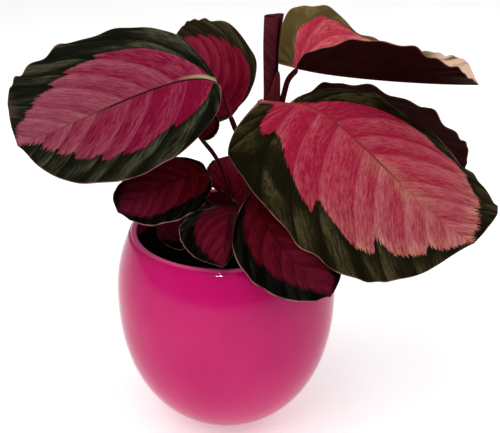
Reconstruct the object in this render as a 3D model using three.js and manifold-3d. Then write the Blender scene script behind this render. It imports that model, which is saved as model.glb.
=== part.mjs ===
// A potted rosy calathea: a ball-shaped glazed pot filled with soil, eleven leaves on their
// petioles, and one new leaf that is still rolled up. Millimetres, +Z up, with the origin under
// the middle of the pot's foot and the best side of the plant facing -Y.
import * as THREE from "three";
import { mergeVertices } from "three/addons/utils/BufferGeometryUtils.js";
import Module from "manifold-3d";

const wasm = await Module();
wasm.setup();

// Pot and soil
const POT_HEIGHT = 155;
const BELLY_RADIUS = 80;
const BELLY_HEIGHT = 105;
const FOOT_RADIUS = 25;
const FOOT_HEIGHT = 2.4;
const LOWEST_CURVE_RADIUS = 10;
const RIM_RADIUS = 68;
const WALL = 4.5;
const FLOOR_THICKNESS = 6;
const BELLY_POWER = 2.3;
const SOIL_TOP = 138;
const SOIL_CROWN = 3;
const SEAT_GAP = 0.3;
const POT_SIDES = 40;

// Leaves
const BLADE_THICKNESS = 0.9;
const KEEL_DEPTH = 1.2;
const NOTCH = 0.6;
const CLOSED_NOTCH = 0.02;
const ACROSS = [0, 0.1, 0.55, 1];
const VEIN_RAKE = 1.5;
const VEIN_SWEEP = 1.4;
const DRIP_TIP = 0.03;
const WAVES = 5;
const STALK_RADIUS = 1.8;
const SHEATH_RADIUS = 2.8;
const STALK_SIDES = 7;
const STALK_STEP = 11;

const POT_COLOUR = "#c03078";
const SOIL_COLOUR = "#2c211b";
const BLADE_COLOUR = "#b5436a";
const STALK_COLOUR = "#5a1622";
const ROLLED_COLOUR = "#5c1530";

// Each leaf has the four points of its midrib from base to tip, and the points of its petiole
// from the soil to the blade. A pair holds one value for each half of the blade: first the half
// on the left of someone who looks from base to tip along the upper face, then the right one.
// width is the blade's width, halves the share of half of it that each side takes, lobe how far
// the base reaches back, shift where the widest place lies (under 1 is nearer the tip), and
// blunt how full the margin is at the base and at the tip (a low value is fuller). steady is the
// share of the midrib's own turning that the halves do not follow. face is the way the upper face
// looks. fold raises a half from the midrib and curl bends it on towards its margin, in degrees.
// Three pairs of fold hold at the base, the middle and the tip.
const LEAVES = [
  {
    name: "left_leaf",
    rib: [[-7, -20, 269], [-37, -32, 270], [-80, -48, 257], [-128, -60, 240]],
    width: 110,
    halves: [0.85, 1.05],
    lobe: [0.04, 0.03],
    shift: [0.97, 0.85],
    blunt: [[1.12, 1], [0.96, 0.4]],
    steady: 0.4,
    face: [0, -0.8, 0.6],
    fold: [-5, 0],
    curl: [-25, -25],
    wave: 1.6,
    phase: [0, 2.2],
    rows: 28,
    petiole: [
      [5, -2, 114], [5, -2, 142], [3, 1, 177], [-6, 0, 206], [-18, 2, 223], [-24, 6, 237],
      [-20, 1, 254], [-7, -19.2, 268.4],
    ],
  },
  {
    name: "upper_left_leaf",
    rib: [[2, 40, 226], [-6, 43, 248], [-18, 50, 262], [-40, 61, 266]],
    width: 78,
    halves: [1, 1],
    shift: [1, 0.85],
    blunt: [[0.85, 0.85], [1.9, 0.45]],
    face: [0.1, -0.85, 0.5],
    fold: [10, 5],
    curl: [-20, -40],
    wave: 1.2,
    phase: [0, 1.3],
    rows: 22,
    petiole: [
      [12, 20, 114], [12, 21, 145], [13, 30, 175], [11, 38, 200], [6, 42, 215], [2.5, 42, 224.5],
    ],
  },
  {
    name: "lower_left_leaf",
    rib: [[-11, -15, 198], [-28, -30, 205], [-48, -45, 202], [-68, -60, 194]],
    width: 50,
    halves: [1, 0.88],
    shift: [1, 1],
    blunt: [[0.85, 0.85], [1.6, 0.7]],
    face: [0, -0.7, 0.7],
    fold: [0, 0],
    curl: [-30, -30],
    wave: 1,
    phase: [0, 1.3],
    rows: 16,
    petiole: [[1, -7, 114], [1, -7, 145], [0, -6, 172], [-5, -9, 188], [-12, -15, 196.5]],
  },
  {
    name: "right_leaf",
    rib: [[49, -14, 252], [82, -38, 239], [119, -70, 211], [154, -100, 192]],
    width: 118,
    halves: [1.08, 1.25],
    lobe: [0.04, 0.19],
    shift: [0.82, 0.93],
    blunt: [[0.9, 0.5], [0.48, 0.86]],
    steady: 0.45,
    face: [0, -0.6, 0.8],
    fold: [-10, 0],
    curl: [-30, -30],
    wave: 1.5,
    phase: [0, 1.3],
    rows: 28,
    petiole: [
      [23, -3, 114], [23, -3, 145], [27, -4, 190], [36, -4, 220], [44, -6, 238], [50.2, -13.1, 250.4],
    ],
  },
  {
    name: "top_right_leaf",
    rib: [[50, 20, 266], [82, 12, 263], [126, 8, 260], [172, 5, 259]],
    width: 100,
    halves: [1.05, 0.77],
    lobe: [0.16, 0],
    shift: [1, 1],
    blunt: [[0.25, 0.8], [1.2, 1]],
    face: [0, 0, 1],
    fold: [[68, 60], [18, 60], [30, 30]],
    curl: [-15, -15],
    wave: 1.2,
    phase: [-1.7, 2.9],
    rows: 28,
    petiole: [[37, 17, 232], [41, 20, 247], [44, 22, 257], [49.5, 20, 264.6]],
  },
  {
    name: "back_right_leaf",
    rib: [[54, 45, 228], [86, 40, 222], [126, 30, 211], [170, 15, 188]],
    width: 90,
    halves: [1, 1],
    lobe: [0.05, 0],
    shift: [1, 1],
    blunt: [[0.8, 0.8], [0.8, 0.8]],
    face: [0, 0.1, 1],
    fold: [10, 60],
    curl: [-20, -20],
    wave: 1.5,
    phase: [0, 1.3],
    rows: 24,
    petiole: [[24, 9, 114], [25, 11, 145], [34, 28, 186], [45, 42, 212], [53.5, 45, 226.6]],
  },
  {
    name: "front_right_leaf",
    rib: [[22, -27, 195], [29, -56, 182], [45, -80, 170], [68, -98, 153]],
    width: 62,
    halves: [0.8, 0.93],
    lobe: [0.05, 0],
    shift: [0.85, 0.93],
    blunt: [[1.2, 0.5], [2.2, 1.1]],
    face: [0, -0.8, 0.6],
    fold: [0, 6],
    curl: [-30, -20],
    wave: 1.2,
    phase: [0, 1.3],
    rows: 18,
    petiole: [[17, -9, 114], [21, -8, 150], [23, -8, 172], [24, -15, 187], [22.3, -25.8, 194]],
  },
  {
    name: "front_leaf",
    rib: [[15, -15, 176], [5, -45, 185], [1, -65, 178], [0, -76, 162]],
    width: 72,
    halves: [0.55, 1],
    shift: [1, 1],
    blunt: [[0.85, 0.85], [1.2, 0.85]],
    face: [-0.1, -0.3, 1],
    fold: [-70, 0],
    curl: [-30, -30],
    wave: 1.2,
    phase: [0, 1.3],
    rows: 18,
    petiole: [[9, -11, 114], [9, -12, 145], [11, -12, 165], [14.5, -15, 174]],
  },
  {
    name: "centre_leaf",
    rib: [[7, 15, 163], [4, 20, 174], [1, 25, 186], [-2, 32, 195]],
    width: 36,
    halves: [0.85, 1],
    lobe: [-0.12, 0.05],
    shift: [0.6, 1],
    blunt: [[2.4, 0.5], [0.85, 0.85]],
    face: [0, -0.9, 0.3],
    fold: [20, 20],
    curl: [0, 0],
    wave: 0.6,
    phase: [0, 1.3],
    rows: 10,
    petiole: [[8, 12, 114], [8, 13, 140], [7.5, 14.5, 155], [7.5, 16, 162]],
  },
  {
    name: "young_leaf",
    rib: [[-18, 8, 220], [-15, 10, 224], [-13, 14, 227], [-13, 20, 233]],
    width: 18,
    halves: [1, 1],
    shift: [1, 1],
    blunt: [[0.85, 0.85], [0.85, 0.85]],
    face: [0, -0.9, 0.3],
    fold: [20, 20],
    curl: [0, 0],
    wave: 0.3,
    phase: [0, 1.3],
    rows: 8,
    petiole: [[2, 5, 114], [2, 6, 145], [2, 7, 177], [-4, 8, 203], [-13, 9, 216], [-17.5, 9, 219.5]],
  },
  {
    name: "inner_leaf",
    rib: [[-6, 4, 163], [-20, -2, 163], [-34, -8, 160], [-48, -12, 153]],
    width: 50,
    halves: [1, 1],
    shift: [1, 1],
    blunt: [[0.85, 0.85], [0.85, 0.85]],
    face: [0, -0.3, 1],
    fold: [0, 0],
    curl: [-20, -20],
    wave: 1,
    phase: [0, 1.3],
    rows: 16,
    petiole: [[-5, 1, 114], [-4, 2, 140], [-3.5, 4, 155], [-5, 4.5, 161.5]],
  },
];
// Petioles that start from the sheath instead of the soil
const FROM_SHEATH = "top_right_leaf";

// The rolled leaf, its petiole and the sheath round both. Angles are in degrees round the tube,
// and the sheath's height and slant are shares of its axis.
const ROLLED_AXIS = [[29, 13, 234], [30.8, 15, 247], [31.3, 15, 283], [32.4, 15, 303]];
const ROLLED_RADII = [4.2, 5.2, 5.5, 6.2];
const ROLLED_PETIOLE_RADIUS = 2.4;
const ROLLED_TURNS = 1.45;
const ROLL_PITCH = 1.7;
const ROLL_START = -20;
const CORNER_FLARE = 1.6;
const CORNER_RISE = 2;
const ROLLED_PETIOLE = [[14, 3, 115], [16, 4, 150], [23, 8.5, 200], [28.8, 12.8, 233]];
const SHEATH_AXIS = [[14, 3, 115], [16, 4, 150], [23, 8.5, 200], [30, 14, 241], [31.2, 15, 268]];
const SHEATH_RADII = [4.8, 5.2, 6.2, 8, 6.8];
const SHEATH_HOLE_RADIUS = 6.6;
const SHEATH_OPENING = 24;
const SHEATH_BACK = 110;
const SHEATH_FRONT = -40;
const SHEATH_HEIGHT = 0.84;
const SHEATH_SLANT = 0.15;

const vector = (p) => new THREE.Vector3(...p);
const pairOf = (value, side) => (Array.isArray(value) ? value[side] : value);

function toSolid(geometry) {
  const bare = geometry.clone();
  bare.deleteAttribute("normal");
  bare.deleteAttribute("uv");
  const merged = mergeVertices(bare, 1e-4);
  const mesh = new wasm.Mesh({
    numProp: 3,
    vertProperties: new Float32Array(merged.getAttribute("position").array),
    triVerts: new Uint32Array(merged.index.array),
  });
  return new wasm.Manifold(mesh);
}

function toGeometry(solid) {
  const { vertProperties, triVerts } = solid.getMesh();
  return new THREE.BufferGeometry()
    .setAttribute("position", new THREE.BufferAttribute(vertProperties, 3))
    .setIndex(new THREE.BufferAttribute(triVerts, 1));
}

// The largest of the bodies that a cut leaves.
function largestBody(solid) {
  return solid.decompose().reduce((a, b) => (a.volume() > b.volume() ? a : b));
}

// A lathed body that stands along +Z.
function lathe(profile) {
  const points = profile.map(([radius, height]) => new THREE.Vector2(radius, height));
  return new THREE.LatheGeometry(points, POT_SIDES).rotateX(Math.PI / 2);
}

// The pot's outer radius at a height: a full curve up to the belly, an ellipse arc above it.
function potRadius(height) {
  if (height < BELLY_HEIGHT) {
    const drop = (BELLY_HEIGHT - height) / BELLY_HEIGHT;
    const spread = BELLY_RADIUS - LOWEST_CURVE_RADIUS;
    return LOWEST_CURVE_RADIUS + spread * Math.sqrt(1 - drop ** BELLY_POWER);
  }
  const climb = (height - BELLY_HEIGHT) / (POT_HEIGHT - BELLY_HEIGHT);
  const sag = 1 - (RIM_RADIUS / BELLY_RADIUS) ** 2;
  return BELLY_RADIUS * Math.sqrt(1 - sag * climb ** 2);
}

function potGeometry() {
  const outside = [[0, 0], [FOOT_RADIUS, 0]];
  for (const height of [FOOT_HEIGHT, 6, 12, 22, 36, 54, 74, 94, 112, 128, 142, POT_HEIGHT - 2]) {
    outside.push([potRadius(height), height]);
  }
  const lip = [[RIM_RADIUS - 0.7, POT_HEIGHT - 0.6], [RIM_RADIUS - WALL / 2, POT_HEIGHT],
    [RIM_RADIUS - WALL + 0.7, POT_HEIGHT - 0.6]];
  const inside = [142, 128, 112, 94, 74, 54, 36, 22, 12].map((height) => [
    potRadius(height) - WALL,
    height,
  ]);
  return lathe([...outside, ...lip, ...inside, [FOOT_RADIUS, FLOOR_THICKNESS], [0, FLOOR_THICKNESS]]);
}

// Soil up to SOIL_TOP at the wall and a little higher at the crown of the plant.
function soilGeometry(stems) {
  const base = FLOOR_THICKNESS + SEAT_GAP;
  const wall = [12, 22, 36, 54, 74, 94, 112, 128, SOIL_TOP].map((height) => [
    potRadius(height) - WALL - 1.5 * SEAT_GAP,
    height,
  ]);
  const crown = [[40, SOIL_TOP + SOIL_CROWN / 2], [18, SOIL_TOP + SOIL_CROWN]];
  const profile = [[0, base], [FOOT_RADIUS - 2, base], ...wall, ...crown, [0, SOIL_TOP + SOIL_CROWN]];
  let soil = toSolid(lathe(profile));
  for (const stem of stems) soil = soil.subtract(stem);
  return toGeometry(largestBody(soil));
}

// The point at t on the cubic through four points, which it meets at 0, 1/3, 2/3 and 1.
function ribPoint(rib, t) {
  const weights = [
    ((1 - 3 * t) * (2 - 3 * t) * (1 - t)) / 2,
    (9 * t * (1 - t) * (2 - 3 * t)) / 2,
    (9 * t * (1 - t) * (3 * t - 1)) / 2,
    (t * (3 * t - 1) * (3 * t - 2)) / 2,
  ];
  const point = new THREE.Vector3();
  rib.forEach((p, i) => point.addScaledVector(vector(p), weights[i]));
  return point;
}

// The midrib by arc length: its length, and a function from a distance to a point and direction.
function ribCurve(rib) {
  const STEPS = 200;
  const lengths = [0];
  for (let i = 1; i <= STEPS; i++) {
    const piece = ribPoint(rib, i / STEPS).distanceTo(ribPoint(rib, (i - 1) / STEPS));
    lengths.push(lengths[i - 1] + piece);
  }
  const length = lengths[STEPS];
  const at = (distance) => {
    const inside = Math.min(Math.max(distance, 0), length);
    let i = 1;
    while (i < STEPS && lengths[i] < inside) i++;
    const t = (i - 1 + (inside - lengths[i - 1]) / (lengths[i] - lengths[i - 1])) / STEPS;
    const direction = ribPoint(rib, t + 1e-4).sub(ribPoint(rib, t - 1e-4)).normalize();
    return { point: ribPoint(rib, t).addScaledVector(direction, distance - inside), direction };
  };
  return { length, at };
}

// A value of one half along the midrib: constant, or a parabola through base, middle and tip.
function along(value, side, f) {
  if (!Array.isArray(value[0])) return value[side];
  const [base, middle, tip] = value.map((pair) => pair[side]);
  return base * (1 - f) * (1 - 2 * f) + middle * 4 * f * (1 - f) + tip * f * (2 * f - 1);
}

// The blade's middle surface: u runs from base to tip, a from the midrib (0) to the margin (1).
// The margin is an oval whose halves have their own fullness, and lines of equal u run out from
// the midrib as the side veins do. Each half leaves the midrib at its fold, bends at a steady
// curl, and ripples along its margin.
function bladePoint(leaf, curve, side, u, a, grow) {
  const turn = Math.PI * u;
  const middle = (1 - Math.cos(turn)) / 2;
  const length = curve.length;
  const lobe = pairOf(leaf.lobe ?? 0.05, side);
  const [fullBase, fullTip] = leaf.blunt[side];
  const tip = DRIP_TIP * length * (u ** 30 - 1) * u ** 4;
  const marginX = length * (-lobe + (1 + lobe) * middle ** leaf.shift[side]) + tip;
  const ribX = length * middle ** VEIN_RAKE + tip;
  const swell = Math.max(Math.sin(turn), 0);
  const half = leaf.width / 2;
  const marginY = half * swell ** (fullBase + (fullTip - fullBase) * u);
  const notch = grow ? CLOSED_NOTCH : NOTCH;
  const x = ribX + (marginX - ribX) * a ** VEIN_SWEEP - 3 * grow * (1 - u);
  const y = (marginY + notch) * a * leaf.halves[side];
  const { point } = curve.at(x);
  const { direction } = curve.at(x + (leaf.steady ?? 0) * (length / 2 - x));
  const f = Math.min(Math.max(x, 0), length) / length;
  const up = vector(leaf.face);
  up.addScaledVector(direction, -up.dot(direction)).normalize();
  const out = new THREE.Vector3().crossVectors(direction, up).multiplyScalar(side ? 1 : -1);
  const fold = THREE.MathUtils.degToRad(along(leaf.fold, side, f));
  const curl = THREE.MathUtils.degToRad(leaf.curl[side]) || 1e-3;
  const bend = (curl * y) / half;
  const ripple = 2 * Math.PI * WAVES * u + leaf.phase[side];
  const wave = leaf.wave * a ** 2.5 * Math.sqrt(swell);
  const second = 2 * Math.PI * WAVES * 1.9 * u + 2 * leaf.phase[side];
  const height = (half * (Math.cos(fold) - Math.cos(fold + bend))) / curl;
  return point
    .addScaledVector(out, (half * (Math.sin(fold + bend) - Math.sin(fold))) / curl)
    .addScaledVector(up, height + wave * (Math.sin(ripple) + 0.5 * Math.sin(second)));
}

// Rows of points over a whole blade, from one margin over the midrib to the other.
function bladeGrid(leaf, grow) {
  const curve = ribCurve(leaf.rib);
  const grid = [];
  for (let i = 0; i <= leaf.rows; i++) {
    const u = i / leaf.rows;
    const first = ACROSS.slice(1).reverse().map((a) => bladePoint(leaf, curve, 0, u, a, grow));
    const second = ACROSS.map((a) => bladePoint(leaf, curve, 1, u, a, grow));
    grid.push([...first, ...second]);
  }
  return grid;
}

// A closed shell over a grid of points, split into triangles alike on both faces. keel, a function
// of the row and the column, thickens the first face, which is a blade's underside.
function shell(grid, thickness, keel = () => 0) {
  const rows = grid.length - 1;
  const columns = grid[0].length - 1;
  const index = (i, j) => i * (columns + 1) + j;
  const count = (rows + 1) * (columns + 1);
  const positions = [];
  for (const face of [1, -1]) {
    for (let i = 0; i <= rows; i++) {
      for (let j = 0; j <= columns; j++) {
        const alongRow = grid[Math.min(i + 1, rows)][j].clone().sub(grid[Math.max(i - 1, 0)][j]);
        const acrossRow = grid[i][Math.min(j + 1, columns)].clone().sub(grid[i][Math.max(j - 1, 0)]);
        const normal = alongRow.cross(acrossRow).normalize();
        const depth = thickness / 2 + (face > 0 ? keel(i, j) : 0);
        positions.push(...grid[i][j].clone().addScaledVector(normal, face * depth).toArray());
      }
    }
  }
  const faces = [];
  for (let i = 0; i < rows; i++) {
    for (let j = 0; j < columns; j++) {
      const [a, b, c, d] = [index(i, j), index(i + 1, j), index(i + 1, j + 1), index(i, j + 1)];
      faces.push(a, b, c, a, c, d);
      faces.push(a + count, c + count, b + count, a + count, d + count, c + count);
    }
  }
  const edge = [];
  for (let i = 0; i < rows; i++) edge.push(index(i, 0));
  for (let j = 0; j < columns; j++) edge.push(index(rows, j));
  for (let i = rows; i > 0; i--) edge.push(index(i, columns));
  for (let j = columns; j > 0; j--) edge.push(index(0, j));
  edge.forEach((p, k) => {
    const q = edge[(k + 1) % edge.length];
    faces.push(p + count, q + count, q, p + count, q, p);
  });
  return new THREE.BufferGeometry()
    .setAttribute("position", new THREE.Float32BufferAttribute(positions, 3))
    .setIndex(faces);
}

// A blade with a keel along the underside of its midrib, which fades towards the tip. Grown, it is
// thicker, reaches further back and has no notch, to cut the seat of its petiole.
function bladeGeometry(leaf, grow = 0) {
  const centre = ACROSS.length - 1;
  const keel = (i, j) => (j === centre ? KEEL_DEPTH * (1 - (0.8 * i) / leaf.rows) : 0);
  return shell(bladeGrid(leaf, grow), BLADE_THICKNESS + 2 * grow, keel);
}

// A stem: a round section carried along a smooth curve, wide in its sheath and slim above.
function stemGeometry(points, radiusAt, grow = 0) {
  const path = new THREE.CatmullRomCurve3(points.map(vector));
  const section = [];
  for (let k = 0; k < STALK_SIDES; k++) {
    const angle = (2 * Math.PI * k) / STALK_SIDES;
    section.push(new THREE.Vector2(Math.cos(angle), Math.sin(angle)));
  }
  const steps = Math.max(4, Math.round(path.getLength() / STALK_STEP));
  const geometry = new THREE.ExtrudeGeometry(new THREE.Shape(section), {
    steps,
    bevelEnabled: false,
    extrudePath: path,
  });
  const centres = path.getSpacedPoints(steps);
  const positions = geometry.getAttribute("position");
  for (let i = 0; i < positions.count; i++) {
    const vertex = new THREE.Vector3().fromBufferAttribute(positions, i);
    const distances = centres.map((centre) => centre.distanceTo(vertex));
    const ring = distances.indexOf(Math.min(...distances));
    vertex.sub(centres[ring]).multiplyScalar(radiusAt(ring / steps) + grow).add(centres[ring]);
    positions.setXYZ(i, ...vertex.toArray());
  }
  return geometry;
}

// The hole that a stem stands in: the stem itself, grown all round and sunk by the seat gap.
function holeFor(points, radiusAt) {
  return toSolid(stemGeometry(points, radiusAt, SEAT_GAP)).translate([0, 0, -2 * SEAT_GAP]);
}

// A petiole's radius falls from its sheath to its stalk over the first half of its length.
function petioleRadius(t) {
  const climb = Math.min(t / 0.5, 1);
  return SHEATH_RADIUS + (STALK_RADIUS - SHEATH_RADIUS) * climb;
}

// A value between the entries of an evenly spaced list.
function blendList(list, t) {
  const place = Math.min(Math.max(t, 0), 1) * (list.length - 1);
  const i = Math.min(Math.floor(place), list.length - 2);
  return THREE.MathUtils.lerp(list[i], list[i + 1], place - i);
}

// The rolled leaf: a sheet wound into a spiral tube, with its free corner drawn out at the top.
function rolledLeafGeometry() {
  const axis = new THREE.CatmullRomCurve3(ROLLED_AXIS.map(vector));
  const ROWS = 8;
  const WRAPS = 18;
  const grid = [];
  for (let i = 0; i <= ROWS; i++) {
    const row = [];
    for (let j = 0; j <= WRAPS; j++) {
      const t = i / ROWS;
      const wind = j / WRAPS;
      const corner = t ** 6 * Math.max(0, 1 - wind * 5);
      const angle = THREE.MathUtils.degToRad(ROLL_START + 360 * ROLLED_TURNS * wind);
      const inset = ROLL_PITCH * wind * ROLLED_TURNS;
      const radius = blendList(ROLLED_RADII, t) - inset + CORNER_FLARE * corner;
      const centre = axis.getPoint(t);
      row.push(new THREE.Vector3(
        centre.x + radius * Math.cos(angle),
        centre.y + radius * Math.sin(angle),
        centre.z + CORNER_RISE * corner,
      ));
    }
    grid.push(row.reverse());
  }
  return shell(grid, BLADE_THICKNESS);
}

// The sheath: a thin wrap round the rolled leaf, slit at the back, with a slanted upper edge.
function sheathGeometry() {
  const axis = new THREE.CatmullRomCurve3(SHEATH_AXIS.map(vector));
  const ROWS = 8;
  const ROUND = 12;
  const grid = [];
  for (let i = 0; i <= ROWS; i++) {
    const row = [];
    for (let j = 0; j <= ROUND; j++) {
      const degrees = SHEATH_BACK + SHEATH_OPENING / 2 + ((360 - SHEATH_OPENING) * j) / ROUND;
      const angle = THREE.MathUtils.degToRad(degrees);
      const front = Math.max(0, Math.cos(angle - THREE.MathUtils.degToRad(SHEATH_FRONT)));
      const t = (i / ROWS) * (SHEATH_HEIGHT + SHEATH_SLANT * front ** 2);
      const centre = axis.getPoint(t);
      const radius = blendList(SHEATH_RADII, t);
      row.push(new THREE.Vector3(
        centre.x + radius * Math.cos(angle),
        centre.y + radius * Math.sin(angle),
        centre.z,
      ));
    }
    grid.push(row.reverse());
  }
  return shell(grid, BLADE_THICKNESS);
}

const plant = new THREE.Group();

function addMesh(name, geometry, colour, roughness) {
  const material = new THREE.MeshStandardMaterial({ color: colour, roughness, metalness: 0 });
  const mesh = new THREE.Mesh(geometry, material);
  mesh.name = name;
  plant.add(mesh);
}

// Stems are cut back by their own blade, grown by the seat gap, so that each fits under it.
const holes = [];
for (const leaf of LEAVES) {
  const blade = toSolid(bladeGeometry(leaf));
  const seat = toSolid(bladeGeometry(leaf, SEAT_GAP));
  let stem = largestBody(toSolid(stemGeometry(leaf.petiole, petioleRadius)).subtract(seat));
  if (leaf.name === FROM_SHEATH) stem = stem.add(toSolid(sheathGeometry()));
  else holes.push(holeFor(leaf.petiole, petioleRadius));
  addMesh(leaf.name + "_blade", toGeometry(blade), BLADE_COLOUR, 0.45);
  addMesh(leaf.name + "_petiole", toGeometry(stem), STALK_COLOUR, 0.5);
}

const rolledPetiole = stemGeometry(ROLLED_PETIOLE, () => ROLLED_PETIOLE_RADIUS);
addMesh("rolled_leaf", rolledLeafGeometry(), ROLLED_COLOUR, 0.45);
addMesh("rolled_leaf_petiole", rolledPetiole, STALK_COLOUR, 0.5);
holes.push(holeFor(SHEATH_AXIS, () => SHEATH_HOLE_RADIUS));

addMesh("soil", soilGeometry(holes), SOIL_COLOUR, 1);
addMesh("pot", potGeometry(), POT_COLOUR, 0.15);

export default plant;
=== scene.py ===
"""A potted rosy calathea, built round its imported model: fine leaf blades with their markings,
petioles, a rolled new leaf in its sheath, crumbly soil and a glossy glazed pot.

Sizes below are in millimetres and become metres when a mesh is made. +Z is up, the origin lies
under the middle of the pot's foot, and the best side of the plant faces -Y.
"""

import bpy
import numpy as np
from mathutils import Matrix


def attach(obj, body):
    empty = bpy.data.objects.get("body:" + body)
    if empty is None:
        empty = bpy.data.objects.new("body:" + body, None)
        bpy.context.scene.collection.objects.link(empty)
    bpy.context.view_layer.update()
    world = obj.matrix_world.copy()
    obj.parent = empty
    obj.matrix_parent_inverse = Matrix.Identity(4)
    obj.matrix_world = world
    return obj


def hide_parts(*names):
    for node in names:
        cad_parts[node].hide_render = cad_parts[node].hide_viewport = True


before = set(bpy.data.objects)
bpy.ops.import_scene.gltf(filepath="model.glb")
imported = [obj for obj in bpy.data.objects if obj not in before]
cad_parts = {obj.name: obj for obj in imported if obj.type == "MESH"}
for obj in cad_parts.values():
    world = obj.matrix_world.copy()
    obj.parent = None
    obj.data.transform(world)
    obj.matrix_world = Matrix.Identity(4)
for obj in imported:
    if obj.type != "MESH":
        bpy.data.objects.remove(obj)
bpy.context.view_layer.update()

bl_info = {
    "name": "Rosy calathea in a glazed pot",
    "version": (1, 0, 0),
    "blender": (4, 5, 0),
    "location": "View3D > Sidebar > Calathea",
    "description": "Builds the leaves, petioles, soil, pot and stage of a potted rosy calathea",
    "category": "Object",
}

MM = 0.001
SEED = 11

# Pot and soil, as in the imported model. The wall's curve would reach LOWEST_CURVE_RADIUS at the
# ground, and BELLY_POWER is how full it is below the belly. SOIL_SETTLING is how much lower the
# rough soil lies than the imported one, and POT_SIDES is the count round the finer pot. The outer
# wall's rings lie closer up to CLOSE_RINGS_TOP, and the inner wall ends at INNER_WALL_FOOT.
POT_HEIGHT = 155
BELLY_RADIUS = 80
BELLY_HEIGHT = 105
BELLY_POWER = 2.3
LOWEST_CURVE_RADIUS = 10
FOOT_RADIUS = 25
FOOT_HEIGHT = 2.4
FOOT_EDGE = 1.5
RIM_RADIUS = 68
LIP_HEIGHT = 2.2
WALL = 4.5
FLOOR_THICKNESS = 6
SOIL_TOP = 138
SOIL_CROWN = 3
SOIL_SETTLING = 1.6
SOIL_GAP = 0.45
POT_SIDES = 160
CLOSE_RINGS_TOP = 22
INNER_WALL_FOOT = 12

# The soil's surface: the radii between which its crown falls, the height and width of its bumps,
# the heights of the rings up its side, its gap over the floor, and how far crumbs keep from the
# wall. A crumb's size, the radius of each of its points and its three axes are drawn from spans.
CROWN_SPAN = (18, 66)
SOIL_BUMPS = ((1.5, 14.0), (0.9, 5.0), (0.5, 2.0))
SOIL_SIDE_RINGS = (22.0, 54.0, 94.0, 128.0)
SOIL_FLOOR_GAP = 0.3
CRUMB_CLEARANCE = 2.5
CRUMB_SIZES = (0.5, 1.6)
CRUMB_ROUGHNESS = (0.7, 1.25)
CRUMB_SQUASH = (0.45, 1.1)

# How every blade grows. NOTCH is a half's width at its very ends, VEIN_RAKE and VEIN_SWEEP are the
# powers that carry its cross lines forward, DRIP_TIP is the share of the length by which the tip
# is drawn out, and WAVES counts the ripples of a margin. VEIN_FAN is how far apart (mm for each
# radian) the veins behind the first one count, VEIN_WANDER how far the veins' spacing drifts over
# WANDER_LENGTH, and FINE_VEINS the spacing of the finest. EDGE_SLANT turns a distance along a vein
# into one from the edge of the pink, FAR_IN_NOISE sets one half's streaks apart from the other's,
# and RIB_STEPS are the places by which a midrib's length is measured. Blades narrower than
# FULL_PLEATS_WIDTH have shallower pleats.
NOTCH = 0.6
VEIN_RAKE = 1.5
VEIN_SWEEP = 1.4
DRIP_TIP = 0.03
WAVES = 5
VEIN_FAN = 40
VEIN_WANDER = 0.15
WANDER_LENGTH = 47
FINE_VEINS = 1.3
EDGE_SLANT = 0.7
FAR_IN_NOISE = 300
MARGIN_THICKNESS = 0.36
GROOVE_DEPTH = 0.25
GROOVE_REACH = 0.8
KEEL_REACH = 1.6
RIB_STEPS = np.linspace(0, 1, 401)
FULL_PLEATS_WIDTH = 90

# How every petiole grows: its radius at the foot, the share of its length at which it is slimmest,
# the span in which it swells into its joint, how deep its groove is, and its number of sides
FOOT_OF_STALK = 2.8
WAIST_SHARE = 0.45
JOINT_SPAN = (0.82, 0.92)
STALK_GROOVE = 0.18
STALK_SIDES = 20

# How strongly leaves and glaze mirror the light
LEAF_SPECULAR = 0.015
GLAZE_SPECULAR = 0.2

# The stage, in metres
FLOOR_REACH = 6.0
PICTURE_MIDDLE = (0.0174, 0.0, 0.1623)
PLANT_MIDDLE = (0.02, -0.02, 0.15)
WHITE = (1.0, 1.0, 1.0)

# The share of each half's width that is pink, at nine even steps from base to tip
PLAIN_PINK = (0.1, 0.35, 0.55, 0.65, 0.7, 0.7, 0.62, 0.45, 0.25)

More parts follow.
